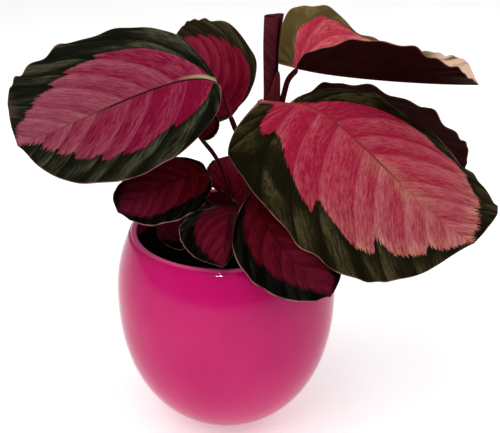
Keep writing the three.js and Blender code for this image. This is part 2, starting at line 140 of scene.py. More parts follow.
# Each leaf as in the imported model: the four points of its midrib from base to tip, the blade's
# width, and pairs for its two halves, of which the second is on the right of someone who looks
# from base to tip along the upper face. halves is the share of half the width that each takes,
# lobe how far the base reaches back, shift where the widest place lies, blunt how full the
# margin is at the base and at the tip, fold how a half rises from the midrib, curl how it bends
# on towards its margin, and steady the share of the midrib's turning that the halves do not
# follow. wave and phase shape the ripple of the margin, and rows is how finely it is drawn.
# petiole holds the points of the stalk from the soil up, and stalk its radius where it is
# slimmest and in the joint below the blade.
# Of the markings, pink is how wide the pink is, lobes how far its edge steps in and out,
# lobe_veins how many veins one step takes, side_veins how many veins a half has, first_vein by
# which part of their spacing they are shifted, lean how far they lean forward at base and tip,
# bow how they curve on, scallops how far the outline swells between them, paling_and_sheen how
# pale the pink is at base and tip, where the left leaf's two halves differ as a painted sheen,
# and age_and_shade how it is coloured: old, folded and grown leaves by their age, and shaded and
# deep leaves darker, with painted shade for lying in the shade of others.
LEAVES = [
    {
        "name": "left", "age_and_shade": "grown", "rows": 150,
        "rib": [(-7, -20, 269), (-37, -32, 270), (-80, -48, 257), (-128, -60, 240)], "width": 110,
        "halves": (0.85, 1.05), "lobe": (0.04, 0.03), "shift": (0.97, 0.85),
        "blunt": ((1.12, 1), (0.96, 0.4)), "steady": 0.4, "face": (0, -0.8, 0.6), "fold": (-5, 0),
        "curl": (-25, -25), "wave": 1.6, "phase": (0, 2.2),
        "petiole": [
            (5, -2, 114), (5, -2, 142), (3, 1, 177), (-6, 0, 206), (-18, 2, 223), (-24, 6, 237),
            (-20, 1, 254), (-7, -19.2, 268.4),
        ],
        "stalk": (1, 2),
        "pink": (
            (0.05, 0.15, 0.45, 0.56, 0.64, 0.66, 0.5, 0.16, 0.02),
            (0.02, 0.08, 0.29, 0.52, 0.64, 0.62, 0.52, 0.38, 0.34),
        ),
        # The difference in paleness between this leaf's two halves is a painted sheen
        "first_vein": (0, 0.75), "scallops": (0.006, 0.04), "paling_and_sheen": ((-0.15, 0.75), (0.2, 0.95)),
    },
    {
        "name": "upper_left", "age_and_shade": "shaded",
        "rib": [(2, 40, 226), (-6, 43, 248), (-18, 50, 262), (-40, 61, 266)], "width": 78,
        "shift": (1, 0.85), "blunt": ((0.85, 0.85), (1.9, 0.45)), "face": (0.1, -0.85, 0.5),
        "fold": (10, 5), "curl": (-20, -40),
        "petiole": [
            (12, 20, 114), (12, 21, 145), (13, 30, 175), (11, 38, 200), (6, 42, 215), (2.5, 42, 224.5),
        ],
        "pink": (PLAIN_PINK, (0.2, 0.5, 0.68, 0.74, 0.7, 0.6, 0.48, 0.38, 0.2)),
        "scallops": (0.035, 0.045),
    },
    {
        "name": "lower_left", "rows": 80,
        "rib": [(-11, -15, 198), (-28, -30, 205), (-48, -45, 202), (-68, -60, 194)], "width": 50,
        "halves": (1, 0.88), "blunt": ((0.85, 0.85), (1.6, 0.7)), "face": (0, -0.7, 0.7), "wave": 1,
        "petiole": [(1, -7, 114), (1, -7, 145), (0, -6, 172), (-5, -9, 188), (-12, -15, 196.5)],
        "pink": (
            (0.1, 0.35, 0.5, 0.58, 0.62, 0.68, 0.7, 0.5, 0.1),
            (0.1, 0.4, 0.7, 0.85, 0.9, 0.9, 0.8, 0.4, 0.1),
        ),
    },
    {
        "name": "right", "age_and_shade": "old", "rows": 170,
        "rib": [(49, -14, 252), (82, -38, 239), (119, -70, 211), (154, -100, 192)], "width": 118,
        "halves": (1.08, 1.25), "lobe": (0.04, 0.19), "shift": (0.82, 0.93),
        "blunt": ((0.9, 0.5), (0.48, 0.86)), "steady": 0.45, "face": (0, -0.6, 0.8), "fold": (-10, 0),
        "wave": 1.5,
        "petiole": [
            (23, -3, 114), (23, -3, 145), (27, -4, 190), (36, -4, 220), (44, -6, 238),
            (50.2, -13.1, 250.4),
        ],
        "pink": (
            (0.02, 0.02, 0.06, 0.64, 0.85, 0.86, 0.74, 0.5, 0.08),
            (0.6, 0.52, 0.5, 0.56, 0.67, 0.69, 0.6, 0.38, 0.06),
        ),
        "lobes": (0.04, 0.13), "lobe_veins": 2, "side_veins": 8, "first_vein": (0.5, 0.1),
        "lean": (0.1, 1.2), "bow": 0.1, "scallops": (0.03, 0.02), "paling_and_sheen": ((0.0, 0.7), (0.0, 0.9)),
    },
    {
        "name": "top_right", "age_and_shade": "folded", "rows": 150,
        "rib": [(50, 20, 266), (82, 12, 263), (126, 8, 260), (172, 5, 259)], "width": 100,
        "halves": (1.05, 0.77), "lobe": (0.16, 0), "blunt": ((0.25, 0.8), (1.2, 1)), "face": (0, 0, 1),
        "fold": ((68, 60), (18, 60), (30, 30)), "curl": (-15, -15), "wave": 1.2, "phase": (-1.7, 2.9),
        "petiole": [(37, 17, 232), (41, 20, 247), (44, 22, 257), (49.5, 20, 264.6)], "stalk": (2, 2),
        "pink": (
            (0.3, 0.62, 0.78, 0.88, 0.88, 0.8, 0.62, 0.35, 0.05),
            (0.3, 0.5, 0.65, 0.7, 0.7, 0.72, 0.74, 0.76, 0.6),
        ),
        "paling_and_sheen": ((0.0, 1.4), (0.2, 1)),
    },
    {
        "name": "back_right", "age_and_shade": "grown", "rows": 130,
        "rib": [(54, 45, 228), (86, 40, 222), (126, 30, 211), (170, 15, 188)], "width": 90,
        "lobe": (0.05, 0), "blunt": ((0.8, 0.8), (0.8, 0.8)), "face": (0, 0.1, 1), "fold": (10, 60),
        "curl": (-20, -20), "wave": 1.5,
        "petiole": [(24, 9, 114), (25, 11, 145), (34, 28, 186), (45, 42, 212), (53.5, 45, 226.6)],
        "pink": ((0.05, 0.08, 0.12, 0.16, 0.2, 0.22, 0.2, 0.12, 0.02), PLAIN_PINK),
    },
    {
        "name": "front_right", "rib": [(22, -27, 195), (29, -56, 182), (45, -80, 170), (68, -98, 153)],
        "width": 62, "halves": (0.8, 0.93), "lobe": (0.05, 0), "shift": (0.85, 0.93),
        "blunt": ((1.2, 0.5), (2.2, 1.1)), "face": (0, -0.8, 0.6), "fold": (0, 6), "curl": (-30, -20),
        "petiole": [(17, -9, 114), (21, -8, 150), (23, -8, 172), (24, -15, 187), (22.3, -25.8, 194)],
        "pink": (
            (0.1, 0.35, 0.5, 0.65, 0.7, 0.72, 0.7, 0.6, 0.3),
            (0.1, 0.25, 0.4, 0.52, 0.62, 0.62, 0.52, 0.3, 0.05),
        ),
    },
    {
        "name": "front", "rib": [(15, -15, 176), (5, -45, 185), (1, -65, 178), (0, -76, 162)],
        "width": 72, "halves": (0.55, 1), "blunt": ((0.85, 0.85), (1.2, 0.85)), "face": (-0.1, -0.3, 1),
        "fold": (-70, 0), "petiole": [(9, -11, 114), (9, -12, 145), (11, -12, 165), (14.5, -15, 174)],
        "pink": (PLAIN_PINK, (0.1, 0.4, 0.58, 0.62, 0.63, 0.65, 0.64, 0.42, 0.2)),
    },
    {
        "name": "centre", "age_and_shade": "shaded", "rows": 60,
        "rib": [(7, 15, 163), (4, 20, 174), (1, 25, 186), (-2, 32, 195)], "width": 36,
        "halves": (0.85, 1), "lobe": (-0.12, 0.05), "shift": (0.6, 1),
        "blunt": ((2.4, 0.5), (0.85, 0.85)), "face": (0, -0.9, 0.3), "fold": (20, 20), "curl": (0, 0),
        "wave": 0.6, "petiole": [(8, 12, 114), (8, 13, 140), (7.5, 14.5, 155), (7.5, 16, 162)],
        "pink": ((0.5, 0.7, 0.85, 0.9, 0.9, 0.9, 0.88, 0.8, 0.6),) * 2,
    },
    {
        "name": "young", "rows": 40,
        "rib": [(-18, 8, 220), (-15, 10, 224), (-13, 14, 227), (-13, 20, 233)], "width": 18,
        "face": (0, -0.9, 0.3), "fold": (20, 20), "curl": (0, 0), "wave": 0.3,
        "petiole": [
            (2, 5, 114), (2, 6, 145), (1.2, 7, 177), (-5.2, 8, 203), (-14, 9, 215.2), (-17.5, 9, 219.5),
        ],
        "stalk": (0.9, 1.2),
    },
    {
        "name": "inner", "rows": 80,
        "rib": [(-6, 4, 163), (-20, -2, 163), (-34, -8, 160), (-48, -12, 153)], "width": 50,
        "face": (0, -0.3, 1), "curl": (-20, -20), "wave": 1,
        "petiole": [(-5, 1, 114), (-4, 2, 140), (-3.5, 4, 155), (-5, 4.5, 161.5)],
    },
]
# Leaves without a colouring of their own take the darkest one, which is mostly painted shade
LEAF_DEFAULTS = {
    "age_and_shade": "deep", "rows": 110, "halves": (1, 1), "lobe": (0.05, 0.05), "shift": (1, 1),
    "blunt": ((0.85, 0.85), (0.85, 0.85)), "steady": 0, "fold": (0, 0), "curl": (-30, -30), "wave": 1.2,
    "phase": (0, 1.3), "stalk": (1.3, 2), "pink": (PLAIN_PINK, PLAIN_PINK), "lobes": (0.06, 0.06),
    "lobe_veins": 1, "side_veins": 7, "first_vein": (0, 0.4), "lean": (0.35, 1.5), "bow": 0.3,
    "scallops": (0.016, 0.016), "paling_and_sheen": ((0.0, 0.9), (0.0, 0.9)),
}

# The rolled leaf, its petiole and the sheath round both: points of each axis, radii at even steps
# along it, angles in degrees from +X, and thicknesses
ROLLED_AXIS = [(29, 13, 234), (30.8, 15, 247), (31.3, 15, 283), (32.4, 15, 303)]
ROLLED_RADII = (4.2, 5.2, 5.5, 6.2)
ROLLED_TURNS = 1.45
ROLL_PITCH = 1.7
ROLL_START = -20
ROLL_DENTS = 0.12
ROLL_THICKNESS = 0.6
CORNER_FLARE = 1.6
CORNER_RISE = 2
ROLLED_PETIOLE = [(14, 3, 115), (16, 4, 150), (23, 8.5, 200), (28.8, 12.8, 233)]
ROLLED_PETIOLE_RADIUS = 2.4
SHEATH_AXIS = [(14, 3, 115), (16, 4, 150), (23, 8.5, 200), (30, 14, 241), (31.2, 15, 268)]
SHEATH_RADII = (4.8, 5.2, 6.2, 8, 6.8)
SHEATH_OPENING = 24
SHEATH_BACK = 110
SHEATH_FRONT = -40
SHEATH_HEIGHT = 0.84
SHEATH_SLANT = 0.15
SHEATH_THICKNESS = 0.9
SHEATH_EDGE = 0.5

# How the leaves are coloured: the pink, what it pales to, the tan near its worn edge, the flank
# and the line of the midrib, the margin and the lighter colour of its streaks, which show only on
# the ridges of its pleats as painted light, how far the tan goes, and how ragged the edge of the
# pink is. shaded and deep are darker copies for leaves that lie in the shade of others:
# painted shade, and for the deepest partly a darker crimson of their own.
TONES_BY_AGE_AND_SHADE = {
    "old": {
        "pink": (0.285, 0.009, 0.034), "pale": (0.315, 0.085, 0.1), "tan": (0.38, 0.2, 0.11),
        "flank": (0.33, 0.03, 0.05), "line": (0.16, 0.02, 0.02), "margin": (0.005, 0.004, 0.001),
        "streak_and_ridge_light": (0.05, 0.04, 0.015), "fading": 0.8, "ragged": 1.0,
    },
    "folded": {
        "pink": (0.44, 0.03, 0.06), "pale": (0.58, 0.2, 0.2), "tan": (0.68, 0.46, 0.34),
        "flank": (0.5, 0.3, 0.2), "line": (0.3, 0.1, 0.06), "margin": (0.085, 0.06, 0.018),
        "streak_and_ridge_light": (0.17, 0.125, 0.045), "fading": 1.0, "ragged": 0.9,
    },
    "grown": {
        "pink": (0.18, 0.003, 0.028), "pale": (0.24, 0.06, 0.09), "tan": (0.25, 0.1, 0.09),
        "flank": (0.36, 0.27, 0.15), "line": (0.02, 0.005, 0.004), "margin": (0.0035, 0.004, 0.0018),
        "streak_and_ridge_light": (0.055, 0.053, 0.03), "fading": 0.4, "ragged": 1.0,
    },
    # Darker copy for leaves in the shade of others: painted shade
    "shaded": {
        "pink": (0.135, 0.0015, 0.011), "pale": (0.19, 0.012, 0.036), "tan": (0.2, 0.02, 0.04),
        "flank": (0.15, 0.015, 0.025), "line": (0.04, 0.002, 0.006), "margin": (0.01, 0.007, 0.002),
        "streak_and_ridge_light": (0.045, 0.037, 0.019), "fading": 0.2, "ragged": 0.6,
    },
    # Darkest copy, for the low inner leaves: partly a darker crimson of their own, mostly painted shade
    "deep": {
        "pink": (0.046, 0.0003, 0.0015), "pale": (0.095, 0.004, 0.015), "tan": (0.08, 0.004, 0.02),
        "flank": (0.08, 0.003, 0.01), "line": (0.03, 0.001, 0.003), "margin": (0.0008, 0.0006, 0.0004),
        "streak_and_ridge_light": (0.008, 0.006, 0.003), "fading": 0.3, "ragged": 0.25,
    },
}


def length_setting(name, description, default, low, high):
    """A length that can be changed, given here in millimetres."""
    return bpy.props.FloatProperty(
        name=name,
        description=description,
        default=default * MM,
        min=low * MM,
        max=high * MM,
        subtype="DISTANCE",
        unit="LENGTH",
    )


def number_setting(name, description, default, low, high, kind="NONE"):
    """A number that can be changed, with the kind that says how Blender shows it."""
    return bpy.props.FloatProperty(
        name=name, description=description, default=default, min=low, max=high, subtype=kind
    )


def colour_setting(name, description, default):
    """A colour that can be changed."""
    return bpy.props.FloatVectorProperty(
        name=name, description=description, default=default, size=3, min=0, max=1, subtype="COLOR"
    )


class CalatheaSizes(bpy.types.PropertyGroup):
    """Sizes that can be changed without moving a piece."""

    blade_thickness: length_setting(
        "Blade thickness", "Thickness of a blade between its veins", 0.6, 0.3, 1.2
    )
    keel_depth: length_setting(
        "Keel depth", "How far the midrib stands out under the blade at its base", 1.2, 0, 2
    )
    pleat_depth: length_setting(
        "Pleat depth", "Height of the shallow pleats between the side veins, at the margin", 0.6, 0, 2
    )
    crumb_size: length_setting(
        "Crumb size", "Mean radius of the loose crumbs on the soil", 1.5, 0.5, 4
    )
    crumb_count: bpy.props.IntProperty(
        name="Crumbs", description="Number of loose crumbs on the soil", default=900, min=0, max=3000
    )


class CalatheaColours(bpy.types.PropertyGroup):
    """Colours that are the same on every leaf, and those of the pot and soil."""

    underside: colour_setting(
        "Underside", "Maroon of the blades' undersides", (0.012, 0.0012, 0.0012)
    )
    # The margin line is partly the blades' pale thin edge and partly a painted highlight where the edge
    # catches the light
    rim: colour_setting("Margin line", "Pale line along every margin", (0.24, 0.12, 0.09))
    stalk: colour_setting("Petiole", "Maroon of the petioles", (0.033, 0.0025, 0.004))
    sheath: colour_setting("Sheath", "Maroon of the rolled leaf's sheath", (0.062, 0.008, 0.009))
    rolled: colour_setting(
        "Rolled leaf", "Purple-red of the leaf that is still rolled up", (0.035, 0.0016, 0.005)
    )
    soil: colour_setting("Soil", "Dark brown of moist potting soil", (0.0035, 0.002, 0.0012))
    glaze: colour_setting("Glaze", "Magenta of the pot's glaze", (0.48, 0.001, 0.112))


class CalatheaStage(bpy.types.PropertyGroup):
    """The camera's place and the light on the plant."""

    distance: length_setting(
        "Camera distance", "From the camera to the middle of the picture", 700, 200, 5000
    )
    pitch: number_setting(
        "Camera pitch", "How steeply the camera looks down", np.radians(25.4), 0, np.pi / 2, "ANGLE"
    )
    lens: number_setting(
        "Lens", "Focal length in millimetres on a sensor 36 mm wide", 70.5, 10, 300
    )
    sky: number_setting(
        "Sky strength", "Strength of the even white light from all round", 0.35, 0, 5
    )
    key: number_setting(
        "Key light", "Power of the large soft light above the plant", 22, 0, 100, "POWER"
    )


# Arrays and curves


def unit(v):
    """v divided by its own length."""
    return v / np.linalg.norm(v, axis=-1, keepdims=True)


def smoothstep(low, high, x):
    """0 below low, 1 above high, and a cubic ease between them."""
    t = np.clip((x - low) / (high - low), 0, 1)
    return t * t * (3 - 2 * t)


def even_steps(values, t):
    """The value at t (0 to 1) of a straight line through values at even steps."""
    return np.interp(t, np.linspace(0, 1, len(values)), values)


def polar(radius, angle, height):
    """Points at a radius and an angle from X round Z, and a height."""
    parts = (radius * np.cos(angle), radius * np.sin(angle), height)
    return np.stack(np.broadcast_arrays(*parts), axis=-1)


def lengths_along(line):
    """How far each point of a line lies from its first, measured along the line."""
    return np.concatenate([[0], np.cumsum(np.linalg.norm(np.diff(line, axis=0), axis=1))])


def rib_point(rib, t):
    """The point at t on the cubic that meets its four points at 0, 1/3, 2/3 and 1."""
    t = np.asarray(t)[..., None]
    first, second, third, fourth = np.array(rib, float)
    return (
        first * (1 - 3 * t) * (2 - 3 * t) * (1 - t) / 2
        + second * 9 * t * (1 - t) * (2 - 3 * t) / 2
        + third * 9 * t * (1 - t) * (3 * t - 1) / 2
        + fourth * t * (3 * t - 1) * (3 * t - 2) / 2
    )


def rib_frame(rib, distance):
    """The midrib's points and directions at the given distances along it. Before its base and after
    its tip it runs straight on."""
    lengths = lengths_along(rib_point(rib, RIB_STEPS))
    inside = np.clip(distance, 0, lengths[-1])
    t = np.interp(inside, lengths, RIB_STEPS)
    direction = unit(rib_point(rib, t + 1e-4) - rib_point(rib, t - 1e-4))
    return rib_point(rib, t) + direction * (distance - inside)[..., None], direction


def rib_length(rib):
    """Length of the midrib."""
    return lengths_along(rib_point(rib, RIB_STEPS))[-1]


def smooth_path(points, t):
    """Points at shares t (0 to 1) of the length of a smooth line through the given points. Between
    two of them it is the cubic whose slopes come from their neighbours, with knots spaced by the
    square root of the distances. The line is first drawn finely and then measured by length."""
    points = np.array(points, float)
    padded = np.array([2 * points[0] - points[1], *points, 2 * points[-1] - points[-2]])
    gaps = np.sqrt(np.linalg.norm(np.diff(padded, axis=0), axis=1))
    w = np.linspace(0, 1, 25)[:-1, None]
    pieces = []
    for i in range(len(points) - 1):
        before, start, end, after = padded[i : i + 4]
        d0, d1, d2 = gaps[i : i + 3]
        leave = ((start - before) / d0 - (end - before) / (d0 + d1) + (end - start) / d1) * d1
        arrive = ((end - start) / d1 - (after - start) / (d1 + d2) + (after - end) / d2) * d1
        pieces.append(
            start
            + leave * w
            + (3 * (end - start) - 2 * leave - arrive) * w**2
            + (2 * (start - end) + leave + arrive) * w**3
        )
    line = np.concatenate([*pieces, points[-1:]])
    lengths = lengths_along(line)
    place = np.asarray(t) * lengths[-1]
    return np.stack([np.interp(place, lengths, line[:, k]) for k in range(3)], axis=-1)


def value_noise(points, cell, seed):
    """Smooth noise from -1 to 1: seeded random values at the corners of a cube grid of the given
    cell, blended by a cubic ease inside each cube."""
    table = np.random.default_rng(seed).uniform(-1, 1, 4096)
    scaled = np.asarray(points) / cell
    corner = np.floor(scaled).astype(int)
    ease = smoothstep(0, 1, scaled - corner)
    total = 0
    for step in np.ndindex(2, 2, 2):
        key = (corner + step) @ np.array([73, 179, 283])
        share = np.abs(1 - np.array(step) - ease).prod(axis=-1)
        total = total + table[key % len(table)] * share
    return total


# Meshes


def add_to_scene(name, data):
    """An object that shows the given data."""
    made = bpy.data.objects.new(name, data)
    bpy.context.scene.collection.objects.link(made)
    return made


def make_piece(name, points, quads, triangles=(), uv=None, values=None, slots=None):
    """A mesh object from points in mm, an array of quads and an array of triangles. uv holds one
    pair for each point, values named arrays with one number for each point, and slots the
    material of each face."""
    corners = np.concatenate([np.ravel(quads), np.ravel(triangles)]).astype(np.int32)
    quad_starts = 4 * np.arange(len(quads))
    starts = np.concatenate([quad_starts, 4 * len(quads) + 3 * np.arange(len(triangles))])
    mesh = bpy.data.meshes.new(name)
    mesh.vertices.add(len(points))
    mesh.vertices.foreach_set("co", (points * MM).astype(np.float32).ravel())
    mesh.loops.add(len(corners))
    mesh.loops.foreach_set("vertex_index", corners)
    mesh.polygons.add(len(starts))
    mesh.polygons.foreach_set("loop_start", starts.astype(np.int32))
    mesh.polygons.foreach_set("use_smooth", np.ones(len(starts), bool))
    if slots is not None:
        mesh.polygons.foreach_set("material_index", slots.astype(np.int32))
    mesh.update(calc_edges=True)
    if uv is not None:
        layer = mesh.uv_layers.new(name="surface")
        layer.data.foreach_set("uv", uv[corners].astype(np.float32).ravel())
    for key, numbers in (values or {}).items():
        layer = mesh.attributes.new(key, "FLOAT", "POINT")
        layer.data.foreach_set("value", numbers.astype(np.float32))
    return add_to_scene(name, mesh)


def finish_piece(piece, materials, node):
    """Gives a piece its materials, hangs it on the root body and hides the imported part that it stands
    for.
    """
    for material in materials:
        piece.data.materials.append(material)
    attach(piece, "root")
    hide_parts(node)


def grid_faces(rows, columns, start=0):
    """Quads of a grid of points whose index is start + row * columns + column."""
    row, column = np.meshgrid(np.arange(rows - 1), np.arange(columns - 1), indexing="ij")
    corner = start + row * columns + column
    quads = np.stack([corner, corner + columns, corner + columns + 1, corner + 1], axis=-1)
    return quads.reshape(-1, 4)


def border_of(rows, columns):
    """Indices of a grid's border points in order round it, and of the point inside each."""
    index = np.arange(rows * columns).reshape(rows, columns)
    border = np.concatenate([index[:-1, 0], index[-1, :-1], index[:0:-1, -1], index[0, :0:-1]])
    inner = np.clip(border // columns, 1, rows - 2) * columns
    inner = inner + np.clip(border % columns, 1, columns - 2)
    return border, inner


def leaf_shell(middle, upper_lift, lower_drop):
    """Points and faces of a closed leaf-like sheet round a grid of middle points: an upper and a
    lower layer along the grid's normals, and a rounded edge line half way between them. Returns
    the points, the faces, how many faces each layer has, and the grid index of every point."""
    rows, columns = middle.shape[:2]
    normal = unit(np.cross(np.gradient(middle, axis=1), np.gradient(middle, axis=0)))
    upper = (middle + normal * upper_lift[..., None]).reshape(-1, 3)
    lower = (middle - normal * lower_drop[..., None]).reshape(-1, 3)
    flat = middle.reshape(-1, 3)
    border, inner = border_of(rows, columns)
    outward = unit(flat[border] - flat[inner])
    reach = 0.5 * (upper_lift + lower_drop).ravel()[border]
    edge = (upper[border] + lower[border]) / 2 + outward * reach[:, None]
    count = rows * columns
    points = np.concatenate([upper, lower, edge])
    top = grid_faces(rows, columns)[:, ::-1]
    bottom = grid_faces(rows, columns, count)
    k = np.arange(len(border))
    following = (k + 1) % len(border)
    line = 2 * count + k
    next_line = 2 * count + following
    upper_edge = np.stack([border, border[following], next_line, line], axis=-1)
    lower_edge = np.stack([line, next_line, count + border[following], count + border], axis=-1)
    faces = np.concatenate([top, bottom, upper_edge, lower_edge])
    source = np.concatenate([np.arange(count), np.arange(count), border])
    return points, faces, (len(top), len(bottom), 2 * len(border)), source


def closed_rings(rows, sides):
    """Quads of rings of points whose index is row * sides + column, and the triangles that close
    them: to a pole before the first ring, which comes next in index, and to one after the last."""
    row, column = np.meshgrid(np.arange(rows - 1), np.arange(sides), indexing="ij")
    here = row * sides + column
    beside = row * sides + (column + 1) % sides
    walls = np.stack([here, beside, beside + sides, here + sides], axis=-1).reshape(-1, 4)
    k = np.arange(sides)
    following = (k + 1) % sides
    pole = np.full(sides, rows * sides)
    last = (rows - 1) * sides
    first_cap = np.stack([pole, following, k], axis=-1)
    last_cap = np.stack([pole + 1, last + k, last + following], axis=-1)
    return walls, np.concatenate([first_cap, last_cap])


def tube(path, radii, groove=0.0):
    """Points, quads, triangles and uv of a closed round stem along a path: rings of the given
    radii square to the path, with an optional shallow groove along one side, and a pole at either
    end."""
    direction = unit(np.gradient(path, axis=0))
    side = unit(np.cross(direction, [1, 0, 0]))
    other = np.cross(direction, side)
    angle = np.linspace(0, 2 * np.pi, STALK_SIDES, endpoint=False)
    dent = 1 - groove * np.exp(-(((angle - np.pi) / 0.5) ** 2))
    spoke = side[:, None] * np.cos(angle)[:, None] + other[:, None] * np.sin(angle)[:, None]
    rings = path[:, None] + spoke * (radii[:, None] * dent)[..., None]
    points = np.concatenate([rings.reshape(-1, 3), path[:1], path[-1:]])
    shares = np.meshgrid(np.linspace(0, 1, len(path)), angle / (2 * np.pi), indexing="ij")
    uv = np.concatenate([np.stack(shares, axis=-1).reshape(-1, 2), [[0, 0.5], [1, 0.5]]])
    return points, *closed_rings(len(path), STALK_SIDES), uv


# Shader nodes

# What the markings of a blade's two faces read, each from the attribute of that name in small
# letters, their colours, and what they give
FACE_VALUES = ("Edge", "Veins", "Bands", "Steps", "Rib", "Rim", "Share", "Paling_and_sheen", "Lobes")
FACE_COLOURS = ("Pink", "Pale", "Tan", "Flank", "Line", "Margin", "Streak_and_ridge_light", "Hairline")
BACK_VALUES = ("Veins", "Rib", "Rim")
BACK_COLOURS = ("Maroon", "Hairline")
LOOKS = ("Color", "Roughness", "Height")


class Signal:
    """What comes out of a shader node. The signs + - * and / make the Math nodes that reckon with
    it."""

    def __init__(self, socket):
        self.socket = socket

    def __add__(self, other):
        return math("ADD", self, other)

    def __sub__(self, other):
        return math("SUBTRACT", self, other)

    def __mul__(self, other):
        return math("MULTIPLY", self, other)

    def __truediv__(self, other):
        return math("DIVIDE", self, other)


def feed(value, socket):
    """Links a signal to a socket, or sets the socket to a plain value."""
    if isinstance(value, Signal):
        socket.id_data.links.new(value.socket, socket)
    elif hasattr(socket.default_value, "__len__") and len(socket.default_value) == 4:
        socket.default_value = (*value[:3], 1.0)
    else:
        socket.default_value = value


def set_inputs(node, values):
    """Feeds a node's inputs, which are given by name or number."""
    for key, value in values.items():
        feed(value, node.inputs[key])


def add_node(tree, kind, values=None, **settings):
    """A new shader node with its settings and inputs."""
    node = tree.nodes.new(kind)
    for key, value in settings.items():
        setattr(node, key, value)
    set_inputs(node, values or {})
    return node


def tree_of(*values):
    """The node tree of the signals among some values."""
    return next(value.socket.id_data for value in values if isinstance(value, Signal))


def math(operation, first, second=0.0):
    """The result of a Math node."""
    values = {0: first, 1: second}
    node = add_node(tree_of(first, second), "ShaderNodeMath", values, operation=operation)
    return Signal(node.outputs[0])


def clamped(result):
    """The result of a Math node, held between 0 and 1."""
    result.socket.node.use_clamp = True
    return result


def ramp(value, low, high, to_low=0.0, to_high=1.0):
    """value eased from the span low..high to the span to_low..to_high."""
    values = {"Value": value, "From Min": low, "From Max": high, "To Min": to_low, "To Max": to_high}
    node = add_node(tree_of(value), "ShaderNodeMapRange", values, interpolation_type="SMOOTHSTEP")
    return Signal(node.outputs["Result"])


def mix(share, first, second, blend="MIX"):
    """Colour between first and second."""
    tree = tree_of(share, first, second)
    node = add_node(tree, "ShaderNodeMix", data_type="RGBA", blend_type=blend)
    feed(share, node.inputs["Factor"])
    colour_inputs = [socket for socket in node.inputs if socket.type == "RGBA"]
    feed(first, colour_inputs[0])
    feed(second, colour_inputs[1])
    return Signal(next(socket for socket in node.outputs if socket.type == "RGBA"))


def noise(vector, scale, detail=2.0, roughness=0.5):
    """Value of a Noise Texture, about 0.5 on average."""
    values = {"Vector": vector, "Scale": scale, "Detail": detail, "Roughness": roughness}
    return Signal(add_node(tree_of(vector), "ShaderNodeTexNoise", values).outputs["Fac"])


def combine(x, y, z=0.0):
    """A vector from three values."""
    return Signal(add_node(tree_of(x), "ShaderNodeCombineXYZ", {0: x, 1: y, 2: z}).outputs[0])


def split(vector):
    """The three parts of a vector."""
    node = add_node(tree_of(vector), "ShaderNodeSeparateXYZ", {0: vector})
    return [Signal(output) for output in node.outputs]


def object_place(tree):
    """The place on a piece, in metres."""
    return Signal(add_node(tree, "ShaderNodeTexCoord").outputs["Object"])


def surface_shares(tree):
    """The two shares that a piece's surface map holds: along it and round it."""
    return split(Signal(add_node(tree, "ShaderNodeUVMap", uv_map="surface").outputs["UV"]))[:2]


def new_group(name, numbers, colours, outputs):
    """An empty shader node group with its named sockets: its inputs by name, and the node that
    takes its outputs. Of the outputs, Color is a colour and the others are numbers."""
    tree = bpy.data.node_groups.new(name, "ShaderNodeTree")
    sockets = [("INPUT", key) for key in (*numbers, *colours)] + [("OUTPUT", key) for key in outputs]
    for side, key in sockets:
        kind = "NodeSocketColor" if key in (*colours, "Color") else "NodeSocketFloat"
        tree.interface.new_socket(key, in_out=side, socket_type=kind)
    source = tree.nodes.new("NodeGroupInput")
    given = {socket.name: Signal(socket) for socket in source.outputs if socket.name}
    return given, tree.nodes.new("NodeGroupOutput")


def use_group(tree, name, values):
    """The outputs by name of a node that places a group."""
    node = tree.nodes.new("ShaderNodeGroup")
    node.node_tree = bpy.data.node_groups[name]
    set_inputs(node, values)
    return {output.name: Signal(output) for output in node.outputs}


def new_material(name):
    """A material with only its output and a Principled shader, which is returned too."""
    material = bpy.data.materials.new(name)
    material.use_nodes = True
    tree = material.node_tree
    tree.nodes.clear()
    shader = tree.nodes.new("ShaderNodeBsdfPrincipled")
    output = tree.nodes.new("ShaderNodeOutputMaterial")
    tree.links.new(shader.outputs["BSDF"], output.inputs["Surface"])
    return material, shader


def dress(shader, colour, roughness, height, unit_height, specular):
    """Feeds a shader its colour, roughness and mirroring, and a height in units of unit_height
    (metres) as bump."""
    bump = add_node(shader.id_data, "ShaderNodeBump", {"Height": height, "Distance": unit_height})
    feed(Signal(bump.outputs["Normal"]), shader.inputs["Normal"])
    set_inputs(shader, {"Base Color": colour, "Roughness": roughness, "Specular IOR Level": specular})


def streaks_group():
    """Fine streaks along the side veins. Veins (mm across them) and Rib (mm from the midrib) are
    stretched so that the noise is short across the veins and long along them. Fine is about 0.5,
    Broad about 0.5 with wide bands, and Teeth gives a ragged edge in mm: a slanted saw of one
    tooth about every 3.2 mm, and noise on it."""
    given, result = new_group("vein_streaks", ("Veins", "Rib"), (), ("Fine", "Broad", "Teeth"))
    veins, rib = given["Veins"], given["Rib"]
    fine = noise(combine(veins, rib * 0.24), 0.65, 5.0, 0.8)
    broad = noise(combine(veins, rib * 0.4, 7.0), 0.12, 3.0, 0.6)
    drift = noise(combine(veins, 3.0), 0.25, 1.0) * 3.0
    saw = math("FRACT", veins / 3.2 + drift) - 0.5
    ragged = noise(combine(veins, 11.0), 0.8, 3.0, 0.7) - 0.5
    set_inputs(result, {"Fine": fine, "Broad": broad, "Teeth": saw * 1.8 + ragged * 4.6})


def fine_comb(veins):
    """Fine parallel veins as a wave from -1 to 1."""
    return math("SINE", veins * (2 * np.pi / FINE_VEINS))


